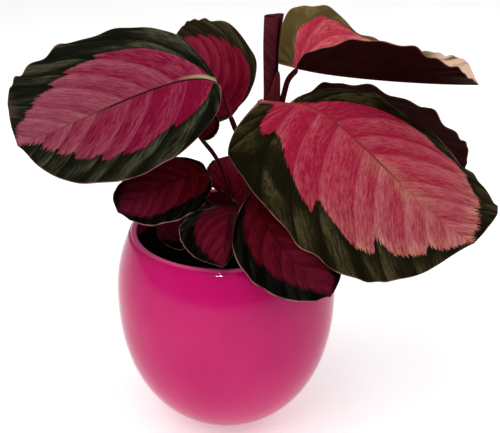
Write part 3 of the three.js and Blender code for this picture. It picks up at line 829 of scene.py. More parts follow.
def leaf_face_group():
    """The upper face of a blade. Edge is how far (mm) a point lies inside the pink area, Veins how
    far across the side veins, Bands the same counted in side veins and Steps in lobes of the pink's
    edge, Rib the distance from the midrib, Rim from the margin, Share the place from base (0) to
    tip (1), Paling_and_sheen how pale the pink is, which on the left leaf also holds a painted
    sheen that sets its two halves apart, and Lobes how far (mm) its edge steps in and out. Ragged is
    1 for an edge with full teeth and 0 for a smooth and soft one. Fading is how far the pink turns
    to Tan, near its worn edge and in dull patches beside the midrib. The margin dries to Tan where
    Paling_and_sheen comes near 1. The ridges of the pleats are painted lighter and their furrows
    darker, as painted light and shade."""
    numbers = (*FACE_VALUES, "Ragged", "Fading")
    given, result = new_group("leaf_face", numbers, FACE_COLOURS, LOOKS)
    edge, veins, bands, steps, rib, rim, share, paling_and_sheen, lobes = (given[key] for key in FACE_VALUES)
    streaks = use_group(tree_of(veins), "vein_streaks", {"Veins": veins, "Rib": rib})
    fine, broad, teeth = (streaks[key] for key in ("Fine", "Broad", "Teeth"))
    fall = math("FRACT", bands)
    # A saw that is high just behind each side vein, on the ridge of its pleat, and falls towards the
    # next: painted light on ridges and painted shade in furrows
    painted_pleat_light = ramp(fall, 0.0, 0.12) * math("SUBTRACT", 1.0, fall)
    cloud = noise(combine(veins * 0.06, rib * 0.05, 5.0), 1.0, 3.0)
    from_rib = math("ABSOLUTE", rib)

    # How far inside the pink: its edge has rounded lobes, and teeth along the veins
    step = math("FRACT", steps)
    bulge = math("SINE", ramp(step, 0.0, 0.65, 0.0, np.pi / 2)) * ramp(step, 1.0, 0.88)
    reach = edge + (bulge - 0.5) * lobes + teeth * given["Ragged"]
    softness = ramp(given["Ragged"], 0.0, 1.0, 1.6, 0.3)
    inside = ramp(reach / softness, -1.0, 1.0)

    # The pink, paler in streaks and patches, paler still on the ridges of the pleats as painted
    # light, and tan near a worn edge and in patches beside the midrib
    pale_share = paling_and_sheen + (fine - 0.5) * 2.4 + (broad - 0.5 + (painted_pleat_light - 0.45) * 0.6)
    pink = mix(clamped(pale_share * 0.9), given["Pink"], given["Pale"])
    worn = ramp(paling_and_sheen, 0.1, 0.55) * ramp(reach, 9.0, 0.0, 0.15, 1.0) * ramp(fine, 0.4, 0.65)
    dull_length = ramp(share, 0.25, 0.5) * ramp(share, 0.95, 0.65)
    dull = ramp(from_rib, 13.0, 1.0, 0.0, 0.4) * dull_length * ramp(cloud, 0.35, 0.6)
    pink = mix(clamped((worn + dull) * given["Fading"]), pink, given["Tan"])
    # Grain of the surface, with painted shade in the furrows of the pleats and painted light on their
    # ridges
    grain = ramp(fine, 0.3, 0.6, 0.7, 1.15) * ramp(painted_pleat_light, 0.1, 0.9, 0.9, 1.06)
    pink = mix(1.0, pink, combine(grain, grain, grain), "MULTIPLY")

    # The margin, lighter in streaks of its own that show only on its ridges, as painted light on the
    # lit ridges
    painted_ridge_light = painted_pleat_light * ramp(cloud, 0.4, 0.6, 0.1, 1.5)
    streak_and_ridge_light_share = ramp(fine, 0.38, 0.68, 0.1, 1.3) * painted_ridge_light * ramp(reach, 0.0, -7.0, 0.35, 1.2)
    margin = mix(clamped(streak_and_ridge_light_share), given["Margin"], given["Streak_and_ridge_light"])
    dry = ramp(paling_and_sheen, 0.85, 1.1) * ramp(cloud, 0.4, 0.52, 0.1, 0.9)
    margin = mix(dry, margin, given["Tan"])

    # Side veins, the midrib with its pale flank, and the pale line along the margin, which is partly
    # the blade's thin edge and partly a painted highlight where the edge catches the light
    colour = mix(inside, margin, pink)
    vein_line = ramp(fall, 0.0, 0.03) * ramp(fall, 0.09, 0.05) * (inside * 0.3)
    colour = mix(vein_line, colour, given["Pale"])
    beside_rib = math("ABSOLUTE", rib - 1.5) / ramp(share, 0.0, 0.25, 2.8, 0.6)
    flank = ramp(beside_rib, 1.0, 0.3) * ramp(share, 0.22, 0.03, 0.03, 0.9)
    colour = mix(flank, colour, given["Flank"])
    dark = ramp(from_rib, 0.8, 0.4) * ramp(share, 0.65, 0.5, 0.1, 0.95)
    colour = mix(dark, colour, given["Line"])
    hairline = ramp(rim, 0.65, 0.3) * ramp(cloud, 0.35, 0.5, 0.2, 1.0)
    colour = mix(hairline, colour, given["Hairline"])

    rough = ramp(inside, 0.0, 1.0, 0.42, 0.55) + fine * 0.12
    height = fine_comb(veins) * 0.3 + fine * 1.2 + vein_line * 2.0
    set_inputs(result, {"Color": colour, "Roughness": rough, "Height": height})


def leaf_back_group():
    """The underside of a blade: maroon with raised side veins that are a little lighter."""
    given, result = new_group("leaf_back", BACK_VALUES, BACK_COLOURS, LOOKS)
    veins, rib, rim = (given[key] for key in BACK_VALUES)
    streaks = use_group(tree_of(veins), "vein_streaks", {"Veins": veins, "Rib": rib})
    fine = streaks["Fine"]
    lighter = mix(1.0, given["Maroon"], (2.6, 3.2, 3.0), "MULTIPLY")
    share = ramp(fine, 0.35, 0.8, 0.0, 0.5) + ramp(streaks["Broad"], 0.4, 0.75, 0.0, 0.4)
    colour = mix(share, given["Maroon"], lighter)
    colour = mix(ramp(math("ABSOLUTE", rib), 1.3, 0.5, 0.0, 0.6), colour, lighter)
    # Pale line along the margin: partly the thin edge, partly a painted highlight
    colour = mix(ramp(rim, 0.6, 0.3), colour, given["Hairline"])
    height = fine_comb(veins) * 0.6 + fine
    set_inputs(result, {"Color": colour, "Roughness": fine * 0.2 + 0.42, "Height": height})


def make_groups():
    """Builds the node groups once."""
    if "vein_streaks" not in bpy.data.node_groups:
        streaks_group()
        leaf_face_group()
        leaf_back_group()


def leaf_material(name, group, keys, shades, unit_height):
    """One side of a blade: a node group that reads the mesh's attributes, and its shades."""
    if name in bpy.data.materials:
        return bpy.data.materials[name]
    material, shader = new_material(name)
    tree = shader.id_data
    nodes = {key: add_node(tree, "ShaderNodeAttribute", attribute_name=key.lower()) for key in keys}
    values = {key: Signal(node.outputs["Fac"]) for key, node in nodes.items()}
    made = use_group(tree, group, values | shades)
    dress(shader, *(made[key] for key in LOOKS), unit_height, LEAF_SPECULAR)
    return material


def face_material(age_and_shade, colours):
    """Upper face of the blades of one colouring: old, folded and grown by age, and shaded and deep
    darker with painted shade.
    """
    shades = {key.capitalize(): value for key, value in TONES_BY_AGE_AND_SHADE[age_and_shade].items()}
    shades["Hairline"] = colours.rim
    return leaf_material("leaf_face_" + age_and_shade, "leaf_face", FACE_VALUES, shades, 0.06 * MM)


def back_material(colours):
    """Underside of every blade."""
    shades = {"Maroon": colours.underside, "Hairline": colours.rim}
    return leaf_material("leaf_back", "leaf_back", BACK_VALUES, shades, 0.08 * MM)


def stalk_material(name, colour, shade):
    """Petioles: maroon with fine lengthwise streaks. shade multiplies the streaks' colour."""
    if name in bpy.data.materials:
        return bpy.data.materials[name]
    material, shader = new_material(name)
    up, turn = surface_shares(shader.id_data)
    fine = noise(combine(up * 6.0, turn * 14.0), 1.6, 3.0, 0.6)
    light = [part * factor for part, factor in zip(colour, shade)]
    colour = mix(ramp(fine, 0.35, 0.75), colour, light)
    dress(shader, colour, fine * 0.2 + 0.33, fine, 0.15 * MM, LEAF_SPECULAR)
    return material


def petiole_material(colours):
    """The skin of every petiole."""
    return stalk_material("petiole_skin", colours.stalk, (2.2, 2.0, 1.8))


def rolled_material(colours):
    """The rolled leaf: purple-red with slanting streaks and a few paler bands, which are the side
    veins and markings of the blade seen from outside."""
    material, shader = new_material("rolled_leaf_skin")
    up, wind = surface_shares(shader.id_data)
    slant = up * 70.0 + wind * 34.0
    fine = noise(combine(slant, wind * 3.0), 0.5, 3.0, 0.6)
    broad = noise(combine(slant, up * 4.0, 4.0), 0.07, 2.0)
    light = [1.7 * part + 0.01 for part in colours.rolled]
    pale_band, red_top = (0.13, 0.008, 0.026), (0.1, 0.014, 0.02)
    colour = mix(ramp(fine, 0.35, 0.7), colours.rolled, light)
    colour = mix(ramp(broad, 0.48, 0.66, 0.0, 0.7), colour, pale_band)
    colour = mix(ramp(up, 0.75, 0.95, 0.0, 0.6), colour, red_top)
    dress(shader, colour, fine * 0.2 + 0.36, fine, 0.2 * MM, LEAF_SPECULAR)
    return material


def soil_material(colours):
    """Moist potting soil: mottled dark brown, with paler fibres and a grainy surface."""
    material, shader = new_material("moist_soil")
    place = object_place(shader.id_data)
    coarse = noise(place, 220.0, 4.0, 0.65)
    grain = noise(place, 900.0, 3.0, 0.7)
    fibre = (0.03, 0.013, 0.008)
    colour = mix(ramp(coarse, 0.35, 0.7), colours.soil, [2.8 * part for part in colours.soil])
    colour = mix(ramp(grain, 0.62, 0.75, 0.0, 0.5), colour, fibre)
    dress(shader, colour, grain * 0.25 + 0.7, coarse + grain * 0.5, 0.9 * MM, 0.0)
    return material


def glaze_material(colours):
    """Glossy magenta glaze: an even colour that is lighter on the lip as a painted highlight, with the
    faint unevenness of fired glaze."""
    material, shader = new_material("fired_glaze")
    place = object_place(shader.id_data)
    cloud = noise(place, 18.0, 3.0, 0.5)
    lighter = [1.12 * part + 0.01 for part in colours.glaze]
    painted_lip_highlight = (0.75, 0.2, 0.36)
    colour = mix(ramp(cloud, 0.35, 0.7, 0.0, 0.6), colours.glaze, lighter)
    # Painted highlight: the top 1.6 mm of the lip turns lighter
    lip = ramp(split(place)[2], (POT_HEIGHT - 1.6) * MM, POT_HEIGHT * MM, 0.0, 0.35)
    colour = mix(lip, colour, painted_lip_highlight)
    ripple = noise(place, 45.0, 2.0, 0.5)
    rough = ramp(cloud, 0.3, 0.7, 0.05, 0.09)
    dress(shader, colour, rough, ripple, 0.25 * MM, GLAZE_SPECULAR)
    return material


# Blades


def of_half(pair, second):
    """The first value of a pair on the first half, and the second on the second."""
    return np.where(second, pair[1], pair[0])


def along(value, second, share):
    """A value of each half along the midrib: constant, or three pairs (base, middle, tip) joined by
    a parabola."""
    if not isinstance(value[0], tuple):
        return of_half(value, second)
    base, middle, tip = (of_half(pair, second) for pair in value)
    rise = base * (1 - share) * (1 - 2 * share)
    return rise + middle * 4 * share * (1 - share) + tip * share * (2 * share - 1)


def spread(leaf, u, a, second):
    """Where a point lies in the flattened blade: its distance x along the midrib and y away from
    it, the half's width there, and how far u is from both ends (0 to 1). The margin is an oval:
    its x is an eased cosine of u, and its y a power of sin(pi u) that changes from base to tip.
    Lines of equal u leave the midrib and sweep forward to the margin (a = 1)."""
    length = rib_length(leaf["rib"])
    turn = np.pi * u
    middle = (1 - np.cos(turn)) / 2
    swell = np.maximum(np.sin(turn), 0)
    lobe = of_half(leaf["lobe"], second)
    tip = DRIP_TIP * length * (u**30 - 1) * u**4
    margin_x = length * (-lobe + (1 + lobe) * middle ** of_half(leaf["shift"], second)) + tip
    rib_x = length * middle**VEIN_RAKE + tip
    full_base, full_tip = (of_half(pair, second) for pair in zip(*leaf["blunt"]))
    fullness = full_base + (full_tip - full_base) * u
    width = (leaf["width"] / 2 * swell**fullness + NOTCH) * of_half(leaf["halves"], second)
    return rib_x + (margin_x - rib_x) * a**VEIN_SWEEP, width * a, width, swell


def vein_place(leaf, x, y):
    """Where on the midrib (mm from the base) the side vein through a point starts, and how far
    along it the point lies. Veins lean forward, more so towards the tip, and curve on as a
    parabola. What lies behind the first of them is filled by veins that fan out from the base,
    and their place goes on below zero with the angle."""
    base_lean, tip_lean = leaf["lean"]
    lean = base_lean + (tip_lean - base_lean) * np.clip(x / rib_length(leaf["rib"]), 0, 1)
    straight = x - leaf["bow"] * y**2 / (leaf["width"] / 2)
    ahead = straight > lean * y
    behind = np.arctan2(y, straight) - np.arctan(1 / lean)
    place = np.where(ahead, straight - lean * y, -VEIN_FAN * behind)
    distance = np.where(ahead, y * np.sqrt(1 + lean**2), np.hypot(straight, y))
    return place, distance


def pink_edge(leaf, place, distance, second):
    """How far (mm) points lie inside the pink area. Its edge is given as a share of the half's
    width for even steps of u, and is read along the side veins."""
    edge = np.zeros(place.shape)
    u = np.linspace(0, 1, 600)
    for half, shares in enumerate(leaf["pink"]):
        share = even_steps(shares, u)
        x, y, *_ = spread(leaf, u, share, np.full(u.shape, half == 1))
        edge_place, edge_distance = vein_place(leaf, x, y)
        order = np.argsort(edge_place)
        reach = np.interp(place, edge_place[order], edge_distance[order])
        edge = np.where(second == (half == 1), EDGE_SLANT * (reach - distance), edge)
    return edge


def blade_surface(leaf, u, s, pleat):
    """The middle surface of a blade in mm, and what its markings read, for grids of u (0 at the
    base, 1 at the tip) and s (-1 to 1 from the first half's margin to the second's).

    The flattened blade is laid along the midrib. Each half starts at its fold angle and bends at a
    steady curl, and its margin ripples in long waves. Shallow pleats run along the side veins,
    whose spacing wanders a little, and end as low scallops in the outline."""
    a = np.abs(s)
    second = s > 0
    half = leaf["width"] / 2
    length = rib_length(leaf["rib"])
    phase = of_half(leaf["phase"], second)
    x, y, width, swell = spread(leaf, u, a, second)
    place, distance = vein_place(leaf, x, y)
    bands = place * leaf["side_veins"] / length + of_half(leaf["first_vein"], second)
    bands = bands + VEIN_WANDER * np.sin(2 * np.pi * place / WANDER_LENGTH + 3 * phase)
    pleats = np.cos(2 * np.pi * bands)
    y = y * (1 + of_half(leaf["scallops"], second) * a**8 * swell * pleats)
    point = rib_frame(leaf["rib"], x)[0]
    direction = rib_frame(leaf["rib"], x + leaf["steady"] * (length / 2 - x))[1]
    share = np.clip(x, 0, length) / length
    up = np.array(leaf["face"], float)
    up = unit(up - (direction @ up)[..., None] * direction)
    out = np.cross(direction, up) * np.where(second, 1, -1)[..., None]
    fold = np.radians(along(leaf["fold"], second, share))
    curl = np.radians(of_half(leaf["curl"], second).astype(float))
    curl = np.where(np.abs(curl) < 1e-3, 1e-3, curl)
    bend = curl * y / half
    reach = half * (np.sin(fold + bend) - np.sin(fold)) / curl
    lift = half * (np.cos(fold) - np.cos(fold + bend)) / curl
    ripple = 2 * np.pi * WAVES * u + phase
    long_wave = np.sin(ripple) + 0.5 * np.sin(2 * np.pi * WAVES * 1.9 * u + 2 * phase)
    lift = lift + leaf["wave"] * a**2.5 * np.sqrt(swell) * long_wave
    lift = lift + pleat * smoothstep(0.03, 0.9, a) * np.sqrt(swell) * pleats
    surface = point + out * reach[..., None] + up * lift[..., None]

    # Paleness of the pink from base to tip; on the left leaf the two halves differ in it as a painted
    # sheen
    paling_and_sheen_base, paling_and_sheen_tip = (of_half(pair, second) for pair in zip(*leaf["paling_and_sheen"]))
    values = {
        "edge": pink_edge(leaf, place, distance, second),
        "lobes": of_half(leaf["lobes"], second) * half * swell,
        "rib": s * width,
        "rim": (1 - a) * np.maximum(width, 3 * NOTCH),
        "veins": place + np.where(second, 0, FAR_IN_NOISE),
        "bands": bands,
        "steps": bands / leaf["lobe_veins"],
        "share": share,
        "paling_and_sheen": paling_and_sheen_base + (paling_and_sheen_tip - paling_and_sheen_base) * share**1.5,
    }
    return surface, values


def build_blade(leaf, sizes, colours):
    """One blade: its middle surface, thinner towards the margin, with a fine groove along the
    midrib above and a rounded keel below that fades towards the tip."""
    even = np.linspace(-1, 1, 1 + 2 * (leaf["rows"] // 5))
    across = np.sign(even) * np.abs(even) ** 1.5
    u, s = np.meshgrid(np.linspace(0, 1, leaf["rows"] + 1), across, indexing="ij")
    pleat = sizes.pleat_depth / MM * min(1, leaf["width"] / FULL_PLEATS_WIDTH)
    surface, values = blade_surface(leaf, u, s, pleat)
    thickness = sizes.blade_thickness / MM
    depth = MARGIN_THICKNESS + (thickness - MARGIN_THICKNESS) * smoothstep(1, 0.6, np.abs(s))
    from_rib = np.abs(values["rib"])
    groove = GROOVE_DEPTH * np.exp(-((from_rib / GROOVE_REACH) ** 2)) * (1 - 0.5 * u)
    round_keel = np.sqrt(np.clip(1 - (from_rib / KEEL_REACH) ** 2, 0, 1))
    keel = sizes.keel_depth / MM * round_keel * (1 - 0.8 * u)
    points, faces, counts, source = leaf_shell(surface, depth / 2 - groove, depth / 2 + keel)
    per_point = {key: numbers.ravel()[source] for key, numbers in values.items()}
    border_start = len(points) - counts[2] // 2
    per_point["rim"][border_start:] = 0
    slots = np.repeat([0, 1, 0], counts)
    piece = make_piece("blade_" + leaf["name"], points, faces, values=per_point, slots=slots)
    materials = [face_material(leaf["age_and_shade"], colours), back_material(colours)]
    finish_piece(piece, materials, leaf["name"] + "_leaf_blade")


# Petioles, the rolled leaf and its sheath


def build_petiole(leaf, colours):
    """One petiole: a slim stalk along its path that narrows from its sheath at the foot, and swells
    into a joint below the blade."""
    t = np.linspace(0, 1, 60)
    path = smooth_path(leaf["petiole"], t)
    waist, joint = leaf["stalk"]
    radii = FOOT_OF_STALK + (waist - FOOT_OF_STALK) * np.minimum(t / WAIST_SHARE, 1)
    radii = radii + (joint - waist) * smoothstep(*JOINT_SPAN, t)
    radii = radii * (1 - 0.25 * smoothstep(0.95, 1, t))
    piece = make_piece("petiole_" + leaf["name"], *tube(path, radii, STALK_GROOVE))
    finish_piece(piece, [petiole_material(colours)], leaf["name"] + "_leaf_petiole")


def build_rolled_petiole(colours):
    """The rolled leaf's petiole, inside the sheath."""
    path = smooth_path(ROLLED_PETIOLE, np.linspace(0, 1, 40))
    piece = make_piece("petiole_rolled", *tube(path, np.full(len(path), ROLLED_PETIOLE_RADIUS)))
    finish_piece(piece, [petiole_material(colours)], "rolled_leaf_petiole")


def wound_sheet(name, surface, thickness, shares):
    """A closed sheet round a grid of middle points, with a surface map of its two shares."""
    points, faces, _, source = leaf_shell(surface, thickness / 2, thickness / 2)
    uv = np.stack([share.ravel()[source] for share in shares], axis=-1)
    return make_piece(name, points, faces, uv=uv)


def build_rolled_leaf(colours):
    """The rolled leaf: a sheet wound from outside inwards into a spiral tube whose radius follows
    the axis, with shallow dents that wind up its outside and its free corner drawn out at the
    top."""
    steps = np.linspace(0, 1, 70)
    t, wind = np.meshgrid(steps, np.linspace(1, 0, 150), indexing="ij")
    corner = t**6 * np.maximum(0, 1 - wind * 5)
    angle = np.radians(ROLL_START + 360 * ROLLED_TURNS * wind)
    radius = even_steps(ROLLED_RADII, t) - ROLL_PITCH * wind * ROLLED_TURNS + CORNER_FLARE * corner
    radius = radius + ROLL_DENTS * np.sin(5 * angle + 6 * t) * (1 - wind)
    surface = smooth_path(ROLLED_AXIS, steps)[:, None] + polar(radius, angle, CORNER_RISE * corner)
    thickness = np.full(t.shape, ROLL_THICKNESS)
    piece = wound_sheet("rolled_new_leaf", surface, thickness, (t, wind))
    finish_piece(piece, [rolled_material(colours)], "rolled_leaf")


def build_sheath(colours):
    """The sheath: a wrap round the rolled leaf whose radius follows its axis, slit at the back,
    with an upper edge that slants up towards its front."""
    share, turn = np.meshgrid(np.linspace(0, 1, 90), np.linspace(0, 1, 72), indexing="ij")
    angle = np.radians(SHEATH_BACK + SHEATH_OPENING / 2 + (360 - SHEATH_OPENING) * (1 - turn))
    front = np.maximum(0, np.cos(angle - np.radians(SHEATH_FRONT)))
    t = share * (SHEATH_HEIGHT + SHEATH_SLANT * front**2)
    surface = smooth_path(SHEATH_AXIS, t) + polar(even_steps(SHEATH_RADII, t), angle, 0.0)
    thickness = SHEATH_EDGE + (SHEATH_THICKNESS - SHEATH_EDGE) * smoothstep(1, 0.8, share)
    piece = wound_sheet("rolled_leaf_sheath", surface, thickness, (share, turn))
    material = stalk_material("sheath_skin", colours.sheath, (1.9, 1.6, 1.4))
    finish_piece(piece, [material], "top_right_leaf_petiole")


# Pot and soil


def pot_radius(height):
    """The pot's outer radius: a full power curve up to the belly, an ellipse arc above it."""
    drop = np.clip((BELLY_HEIGHT - height) / BELLY_HEIGHT, 0, 1)
    below = np.sqrt(1 - drop**BELLY_POWER)
    below = LOWEST_CURVE_RADIUS + (BELLY_RADIUS - LOWEST_CURVE_RADIUS) * below
    climb = (height - BELLY_HEIGHT) / (POT_HEIGHT - BELLY_HEIGHT)
    sag = 1 - (RIM_RADIUS / BELLY_RADIUS) ** 2
    above = BELLY_RADIUS * np.sqrt(1 - sag * np.clip(climb, 0, 1) ** 2)
    return np.where(height < BELLY_HEIGHT, below, above)


def revolve(profile, sides):
    """Points, quads and triangles of a profile of (radius, height) turned round Z. Its first and
    last points lie on the axis and become poles."""
    angle = np.linspace(0, 2 * np.pi, sides, endpoint=False)
    rings = profile[1:-1]
    points = polar(rings[:, :1], angle, rings[:, 1:]).reshape(-1, 3)
    poles = [[0, 0, profile[0][1]], [0, 0, profile[-1][1]]]
    return np.concatenate([points, poles]), *closed_rings(len(rings), sides)


def build_pot(colours):
    """The pot: a flat foot, the round outer wall with closer rings where it curves in to the foot,
    a rounded lip, and the inner wall at an even distance down to the floor."""
    turn = np.linspace(-np.pi / 2, 0, 6)[1:-1]
    foot_radii = FOOT_RADIUS - FOOT_EDGE * (1 - np.cos(turn))
    foot = np.stack([foot_radii, FOOT_HEIGHT / 2 * (1 + np.sin(turn))], axis=-1)
    lip_start = POT_HEIGHT - LIP_HEIGHT
    low = np.linspace(FOOT_HEIGHT, CLOSE_RINGS_TOP, 14)
    heights = np.concatenate([low, np.linspace(CLOSE_RINGS_TOP + 3, lip_start, 56)])
    outside = np.stack([pot_radius(heights), heights], axis=-1)
    roll = np.linspace(0, np.pi, 19)[1:-1]
    lip_radii = RIM_RADIUS - WALL / 2 * (1 - np.cos(roll))
    lip = np.stack([lip_radii, lip_start + LIP_HEIGHT * np.sin(roll)], axis=-1)
    inner_heights = np.linspace(lip_start, INNER_WALL_FOOT, 50)
    inside = np.stack([pot_radius(inner_heights) - WALL, inner_heights], axis=-1)
    bottom = [(0, 0), (FOOT_RADIUS - FOOT_EDGE, 0)]
    floor = [(FOOT_RADIUS, FLOOR_THICKNESS), (0, FLOOR_THICKNESS)]
    profile = np.concatenate([bottom, foot, outside, lip, inside, floor])
    piece = make_piece("glazed_pot", *revolve(profile, POT_SIDES))
    finish_piece(piece, [glaze_material(colours)], "pot")


def soil_surface(radius, angle):
    """Height of the soil: a low crown that falls to the wall, roughened by noise of three sizes."""
    place = polar(radius, angle, 0.0)
    crown = SOIL_TOP + SOIL_CROWN * (1 - smoothstep(*CROWN_SPAN, radius))
    bumps = 0
    for k, (height, width) in enumerate(SOIL_BUMPS):
        bumps = bumps + height * value_noise(place, width, SEED + k)
    return crown - SOIL_SETTLING + bumps


def build_crumbs(count, size, reach):
    """Points, quads and triangles of loose crumbs on the soil. Each is a ball of four rings of
    eight points and two poles, with its size, its squash and every point's radius drawn at
    random."""
    rng = np.random.default_rng(SEED)
    around = rng.uniform(0, 2 * np.pi, count)
    out = reach * np.sqrt(rng.uniform(0, 1, count))
    radii = size * rng.uniform(*CRUMB_SIZES, count)
    place = polar(out, around, soil_surface(out, around))
    down = np.linspace(0, np.pi, 6)[1:-1, None]
    turn = np.linspace(0, 2 * np.pi, 8, endpoint=False)
    rings = polar(np.sin(down), turn, -np.cos(down)).reshape(-1, 3)
    ball = np.concatenate([rings, [[0, 0, -1], [0, 0, 1]]])
    rough = rng.uniform(*CRUMB_ROUGHNESS, (count, len(ball), 1))
    squash = rng.uniform(*CRUMB_SQUASH, (count, 1, 3))
    crumbs = place[:, None] + ball * rough * squash * radii[:, None, None]
    offsets = len(ball) * np.arange(count)[:, None, None]
    quads, triangles = (faces + offsets for faces in closed_rings(4, 8))
    return crumbs.reshape(-1, 3), quads.reshape(-1, 4), triangles.reshape(-1, 3)


def build_soil(sizes, colours):
    """The soil: four rings up along the pot's wall, rings in over the rough top to its middle, and
    loose crumbs lying on it."""
    rings, sides = 90, 220
    wall = pot_radius(SOIL_TOP) - WALL - SOIL_GAP
    angle = np.linspace(0, 2 * np.pi, sides, endpoint=False)
    radius = np.linspace(wall, 0.6, rings)[:, None]
    top = polar(radius, angle, soil_surface(radius, angle))
    height = np.array(SOIL_SIDE_RINGS)[:, None]
    side = polar(pot_radius(height) - WALL - SOIL_GAP, angle, height)
    poles = [[0, 0, FLOOR_THICKNESS + SOIL_FLOOR_GAP], [0, 0, top[-1, :, 2].mean()]]
    points = np.concatenate([side.reshape(-1, 3), top.reshape(-1, 3), poles])
    quads, triangles = closed_rings(len(side) + rings, sides)
    crumbs = build_crumbs(sizes.crumb_count, sizes.crumb_size / MM, wall - CRUMB_CLEARANCE)
    piece = make_piece(
        "potting_soil",
        np.concatenate([points, crumbs[0]]),
        np.concatenate([quads, crumbs[1] + len(points)]),
        np.concatenate([triangles, crumbs[2] + len(points)]),
    )
    finish_piece(piece, [soil_material(colours)], "soil")


# Stage


def build_stage(stage):
    """A wide pale floor, an even white sky, two large soft lights above, a small lamp for the glint
    on the lip, and the camera."""
    floor = bpy.data.meshes.new("floor")
    corners = [(x * FLOOR_REACH, y * FLOOR_REACH, 0) for x, y in ((-1, -1), (1, -1), (1, 1), (-1, 1))]
    floor.from_pydata(corners, [], [(0, 1, 2, 3)])
    material, shader = new_material("floor_paper")
    blotches = noise(object_place(shader.id_data), 6.0)
    tint = mix(blotches, (0.93, 0.92, 0.92), (0.96, 0.955, 0.955))
    glow = {"Emission Color": WHITE, "Emission Strength": 0.38}
    set_inputs(shader, {"Base Color": tint, "Roughness": 0.7} | glow)
    floor.materials.append(material)
    add_to_scene("floor", floor)

    world = bpy.data.worlds.new("studio")
    world.use_nodes = True
    set_inputs(world.node_tree.nodes["Background"], {"Color": WHITE, "Strength": stage.sky})
    bpy.context.scene.world = world

    add_area("key", (-0.55, -0.7, 1.6), PLANT_MIDDLE, 1.5, stage.key, (1.0, 0.99, 0.97))
    add_area("fill", (1.1, 0.1, 1.5), PLANT_MIDDLE, 1.5, 0.6 * stage.key, (0.98, 0.99, 1.0))
    lamp = add_area("lamp", (-0.12, -0.9, 1.25), (0.0, -0.06, 0.15), 0.12, 12.0, WHITE)
    lamp.visible_glossy = True
    lamp.visible_diffuse = False

    back = np.array([0.0, -np.cos(stage.pitch), np.sin(stage.pitch)])
    data = bpy.data.cameras.new("camera")
    data.lens = stage.lens
    data.sensor_width = 36.0
    data.sensor_fit = "HORIZONTAL"
    camera = add_to_scene("camera", data)
    camera.location = np.array(PICTURE_MIDDLE) + stage.distance * back
    camera.rotation_euler = (np.pi / 2 - stage.pitch, 0.0, 0.0)
    bpy.context.scene.camera = camera
    bpy.context.scene.view_settings.view_transform = "Standard"


def add_area(name, place, target, size, power, colour):
    """A square area light that faces its target and shows in no reflection."""
    data = bpy.data.lights.new(name, "AREA")
    data.size = size
    data.energy = power
    data.color = colour
    light = add_to_scene(name, data)
    light.location = place
    light.visible_glossy = False
    x, y, z = np.array(target) - np.array(place)
    light.rotation_euler = (np.arctan2(np.hypot(x, y), -z), 0.0, np.arctan2(y, x) - np.pi / 2)
    return light


# Operators, panel and registration


class CALATHEA_OT_blades(bpy.types.Operator):
    """Build the eleven blades with their markings"""

    bl_idname = "calathea.blades"
    bl_label = "Build blades"

    def execute(self, context):
        make_groups()
        scene = context.scene
        for leaf in LEAVES:
            build_blade(LEAF_DEFAULTS | leaf, scene.calathea_sizes, scene.calathea_colours)
        return {"FINISHED"}


class CALATHEA_OT_petioles(bpy.types.Operator):
    """Build the petioles that carry the blades"""

    bl_idname = "calathea.petioles"
    bl_label = "Build petioles"

    def execute(self, context):
        for leaf in LEAVES:
            build_petiole(LEAF_DEFAULTS | leaf, context.scene.calathea_colours)
        return {"FINISHED"}


class CALATHEA_OT_rolled_leaf(bpy.types.Operator):
    """Build the rolled new leaf with its petiole and sheath"""

    bl_idname = "calathea.rolled_leaf"
    bl_label = "Build rolled leaf"

    def execute(self, context):
        colours = context.scene.calathea_colours
        build_rolled_leaf(colours)
        build_sheath(colours)
        build_rolled_petiole(colours)
        return {"FINISHED"}


class CALATHEA_OT_pot(bpy.types.Operator):
    """Build the glazed pot"""

    bl_idname = "calathea.pot"
    bl_label = "Build pot"

    def execute(self, context):
        build_pot(context.scene.calathea_colours)
        return {"FINISHED"}


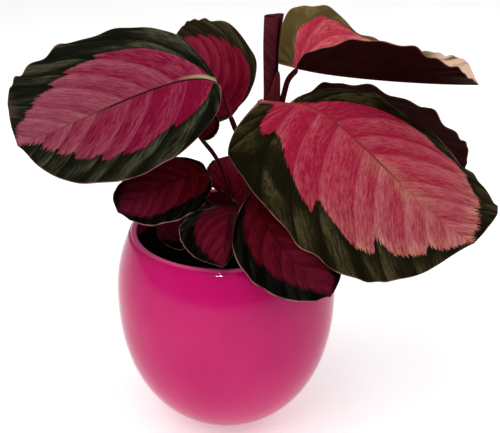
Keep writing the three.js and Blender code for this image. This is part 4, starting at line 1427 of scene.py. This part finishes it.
class CALATHEA_OT_soil(bpy.types.Operator):
    """Build the soil and its crumbs"""

    bl_idname = "calathea.soil"
    bl_label = "Build soil"

    def execute(self, context):
        scene = context.scene
        build_soil(scene.calathea_sizes, scene.calathea_colours)
        return {"FINISHED"}


class CALATHEA_OT_stage(bpy.types.Operator):
    """Build the floor, the lights and the camera"""

    bl_idname = "calathea.stage"
    bl_label = "Build stage"

    def execute(self, context):
        build_stage(context.scene.calathea_stage)
        return {"FINISHED"}


OPERATORS = (
    CALATHEA_OT_stage,
    CALATHEA_OT_pot,
    CALATHEA_OT_soil,
    CALATHEA_OT_petioles,
    CALATHEA_OT_rolled_leaf,
    CALATHEA_OT_blades,
)


class CALATHEA_PT_panel(bpy.types.Panel):
    """Lists the operators and what can be changed"""

    bl_idname = "CALATHEA_PT_panel"
    bl_label = "Calathea"
    bl_space_type = "VIEW_3D"
    bl_region_type = "UI"
    bl_category = "Calathea"

    def draw(self, context):
        layout = self.layout
        for operator in OPERATORS:
            layout.operator(operator.bl_idname)
        scene = context.scene
        for settings in (scene.calathea_sizes, scene.calathea_colours, scene.calathea_stage):
            box = layout.box()
            for key in settings.__annotations__:
                box.prop(settings, key)


CLASSES = (CalatheaSizes, CalatheaColours, CalatheaStage, *OPERATORS, CALATHEA_PT_panel)


def register():
    """Registers the classes and hangs the settings on the scene."""
    for item in CLASSES:
        bpy.utils.register_class(item)
    bpy.types.Scene.calathea_sizes = bpy.props.PointerProperty(type=CalatheaSizes)
    bpy.types.Scene.calathea_colours = bpy.props.PointerProperty(type=CalatheaColours)
    bpy.types.Scene.calathea_stage = bpy.props.PointerProperty(type=CalatheaStage)


def unregister():
    """Takes the settings and the classes away again."""
    del bpy.types.Scene.calathea_stage
    del bpy.types.Scene.calathea_colours
    del bpy.types.Scene.calathea_sizes
    for item in reversed(CLASSES):
        bpy.utils.unregister_class(item)


def main():
    """Registers the add-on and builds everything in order."""
    register()
    bpy.ops.calathea.stage()
    bpy.ops.calathea.pot()
    bpy.ops.calathea.soil()
    bpy.ops.calathea.petioles()
    bpy.ops.calathea.rolled_leaf()
    bpy.ops.calathea.blades()


if __name__ == "__main__":
    main()
